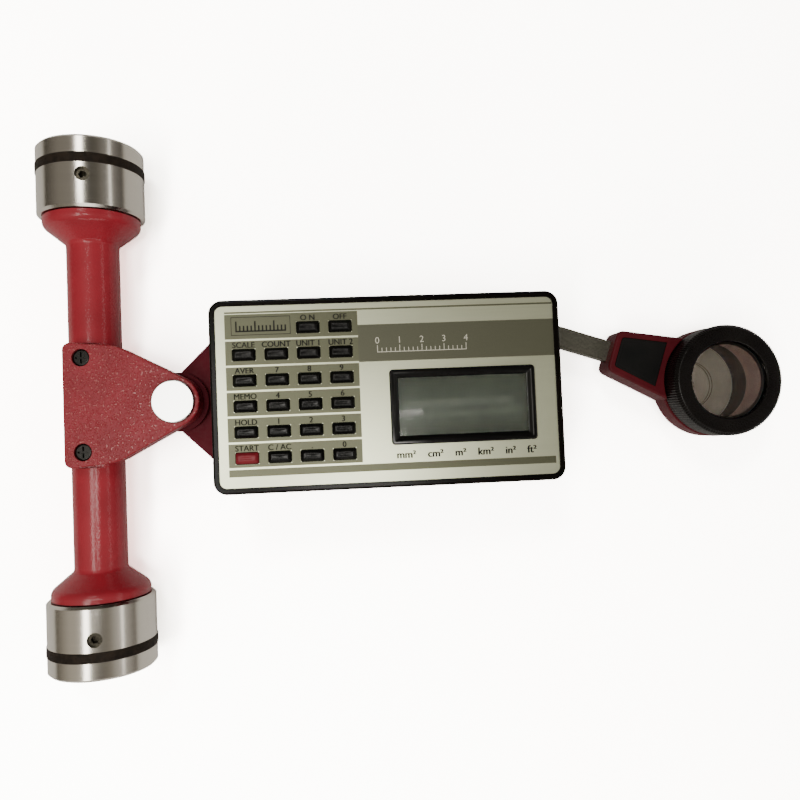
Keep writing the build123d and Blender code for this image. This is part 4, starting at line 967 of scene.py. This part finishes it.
plate_frame = frame_edges(*PLATE_X, *PLATE_Y, PLATE_LINE)
plate_scale = scale_edges(PLATE_X[0] + 1.35 * MM, PLATE_Y[0] + 1.25 * MM, 13, 1.0 * MM,
                          1.3 * MM, 2.5 * MM, TALL_EVERY, DARK_TICK)
gather("print_badge", [bars(np.vstack([plate_frame, plate_scale]))], ink_dark)

pale_lines = [bars(scale_edges(BAND_X, BAND_Y, BAND_TICKS, BAND_PITCH,
                               1.0 * MM, 1.7 * MM, TALL_EVERY, PALE_TICK))]
for number in range(BAND_TICKS // TALL_EVERY + 1):
    x = BAND_X + number * TALL_EVERY * BAND_PITCH
    pale_lines.append(letters(str(number), NUMBER_SIZE, x, BAND_Y + NUMBER_UP))
gather("print_scale", pale_lines, ink_pale)

# %% [markdown]
# The floor is a plain pale sheet. Such an instrument is shown on a clean white ground, but a floor
# lit as white as that would throw so much light back that the metal went flat. So the floor has two
# shaders, and Light Path picks one: rays that come straight from the camera see the ground white,
# and all other rays find an ordinary pale paper.

# %% Floor
FLOOR_HALF = 3.0
FLOOR_DOWN = 0.02 * MM      # clear of the surfaces that stand on it


def by_ray(tree, lighting, seen, output):
    """Leads one shader to the output for rays from the camera, and another for all other rays."""
    choice = tree.nodes.new("ShaderNodeMixShader")
    tree.links.new(tree.nodes.new("ShaderNodeLightPath").outputs["Is Camera Ray"], choice.inputs[0])
    tree.links.new(lighting, choice.inputs[1])
    tree.links.new(seen, choice.inputs[2])
    tree.links.new(choice.outputs[0], output)


floor_mesh = bpy.data.meshes.new("floor")
corners = np.array([(-1, -1, 0), (1, -1, 0), (1, 1, 0), (-1, 1, 0)]) * FLOOR_HALF
floor_mesh.from_pydata(corners.tolist(), [], [(0, 1, 2, 3)])
floor = bpy.data.objects.new("floor", floor_mesh)
bpy.context.scene.collection.objects.link(floor)
floor.location.z = -FLOOR_DOWN
paper, tree, shader, place = new_finish("floor_paper")
colour_by(tree, shader, grains(tree, place, 0.02), (0.86, 0.86, 0.855), (0.88, 0.88, 0.875))
shader.inputs["Roughness"].default_value = 0.8
white = tree.nodes.new("ShaderNodeBsdfDiffuse")
white.inputs["Color"].default_value = (15.0, 15.0, 15.1, 1.0)
by_ray(tree, shader.outputs[0], white.outputs[0], tree.nodes["Material Output"].inputs["Surface"])
floor_mesh.materials.append(paper)
print("floor: %.0f m wide" % (2 * FLOOR_HALF))

# %% [markdown]
# The light is soft: rectangular lamps like the panels of a studio. Metal and enamel show what they
# reflect, so each lamp is placed for a reflection. The long lamp and the back lamp draw the bright
# lines on the drums and the tube, the lamp over the case lights the panel, the front lamp and the
# right strip pick out the edges, and three narrow lamps make the pale streaks in the window. We set
# how bright a lamp looks, its radiance, and work out the watts, because a smaller lamp of the same
# watts would look brighter.

# %% Lamps
WARM_WHITE = (1.0, 0.97, 0.91)


def soft_panel(name, centre, size, turns, radiance):
    """Rectangle of light, facing down before its turns about X, Y, Z; watts = pi area radiance."""
    lamp = bpy.data.lights.new(name, "AREA")
    lamp.shape = "RECTANGLE"
    lamp.size, lamp.size_y = size
    lamp.energy = math.pi * size[0] * size[1] * radiance
    lamp.color = WARM_WHITE
    holder = bpy.data.objects.new(name, lamp)
    holder.location = centre
    holder.rotation_euler = tuple(math.radians(turn) for turn in turns)
    bpy.context.scene.collection.objects.link(holder)
    print(name, "watts: %.2f" % lamp.energy)


soft_panel("long_lamp", (-0.235, -0.13, 0.6), (0.12, 0.42), (0, 0, -14), 9.0)
soft_panel("back_lamp", (-0.13, 0.31, 0.6), (0.12, 0.16), (0, 0, -14), 11.0)
soft_panel("lamp_over_case", (-0.025, -0.07, 0.6), (0.13, 0.09), (0, 0, 0), 12.5)
soft_panel("low_front_lamp", (0.04, -0.6, 0.26), (0.6, 0.14), (66, 0, 0), 3.0)
soft_panel("right_strip", (0.8, 0.05, 0.56), (0.08, 0.9), (0, 57, 0), 2.5)
soft_panel("screen_glow", (0.09, 0.012, 0.6), (0.12, 0.008), (0, 0, 1), 0.8)
soft_panel("screen_line", (0.09, 0.0, 0.6), (0.14, 0.006), (0, 0, 1), 0.7)
soft_panel("screen_glint", (0.037, 0.001, 0.6), (0.03, 0.007), (0, 0, 1), 9.0)

# %% [markdown]
# Around the lamps is a dim room. An even grey would leave the drums without their dark flanks, and
# a picture of a real room is more than we need, so the room is three ramps multiplied: from side to
# side, from the floor to overhead, and from front to back. They read the direction of a ray, which
# is what Generated gives in a world. As with the floor, the camera sees a plain backdrop instead.

# %% Room
# X of the direction, tone there
ROOM_TONES = [(-0.5, (0.42, 0.385, 0.33)), (0.2, (0.095, 0.087, 0.075)),
              (0.5, (0.22, 0.2, 0.165)), (0.8, (0.55, 0.52, 0.48))]
AT_FLOOR, OVERHEAD = (0.25, 0.24, 0.22), (1.0, 1.0, 1.0)
IN_FRONT, BEHIND = (1.2, 1.2, 1.2), (0.58, 0.58, 0.58)
BACKDROP, BACKDROP_STRENGTH = (0.9, 0.9, 0.89, 1.0), 2.5

world = bpy.data.worlds.new("room")
bpy.context.scene.world = world
world.use_nodes = True
sky = world.node_tree
facing = sky.nodes.new("ShaderNodeSeparateXYZ")
sky.links.new(sky.nodes.new("ShaderNodeTexCoord").outputs["Generated"], facing.inputs["Vector"])
side = spread(sky, facing.outputs["X"], 0.0, 1.0, -1.0, 1.0)
room_tone = ramp(sky, side, [((stop + 1) / 2, tone) for stop, tone in ROOM_TONES])
upwards = between(sky, spread(sky, facing.outputs["Z"], 0.0, 1.0, 0.0, 0.6), AT_FLOOR, OVERHEAD)
backwards = between(sky, spread(sky, facing.outputs["Y"], 0.0, 1.0, -0.15, 0.17), IN_FRONT, BEHIND)
for share in (upwards, backwards):
    room_tone = between(sky, 1.0, room_tone, share, "MULTIPLY")
background = sky.nodes["Background"]
sky.links.new(room_tone, background.inputs["Color"])
backdrop = sky.nodes.new("ShaderNodeBackground")
backdrop.inputs["Color"].default_value = BACKDROP
backdrop.inputs["Strength"].default_value = BACKDROP_STRENGTH
by_ray(sky, background.outputs[0], backdrop.outputs[0], sky.nodes["World Output"].inputs["Surface"])
print("tones round the room:", len(ROOM_TONES))

# %% [markdown]
# The camera looks down on the instrument from a hand's height over the case, a little turned.
# Pointing it at the case with a constraint would be quicker, but it would lose the three small
# turns that a hand-held camera has. So its place is given from the pivot and its turns in degrees.

# %% Camera
CAMERA_LENS = 31.986          # millimetres on a sensor 36 mm wide
CAMERA_FROM_PIVOT = (50.74, -9.04, 228.02)
CAMERA_TURNS = (2.106, -3.470, -2.410)
NEAREST_SEEN = 0.01           # metres
camera_data = bpy.data.cameras.new("camera")
camera_data.lens = CAMERA_LENS
camera_data.clip_start = NEAREST_SEEN
camera = bpy.data.objects.new("camera", camera_data)
camera.location = np.array(CAMERA_FROM_PIVOT) * MM + (pivot_x, 0.0, 0.0)
camera.rotation_euler = tuple(math.radians(turn) for turn in CAMERA_TURNS)
bpy.context.scene.collection.objects.link(camera)
bpy.context.scene.camera = camera
print("camera at", tuple(round(value, 4) for value in camera.location))
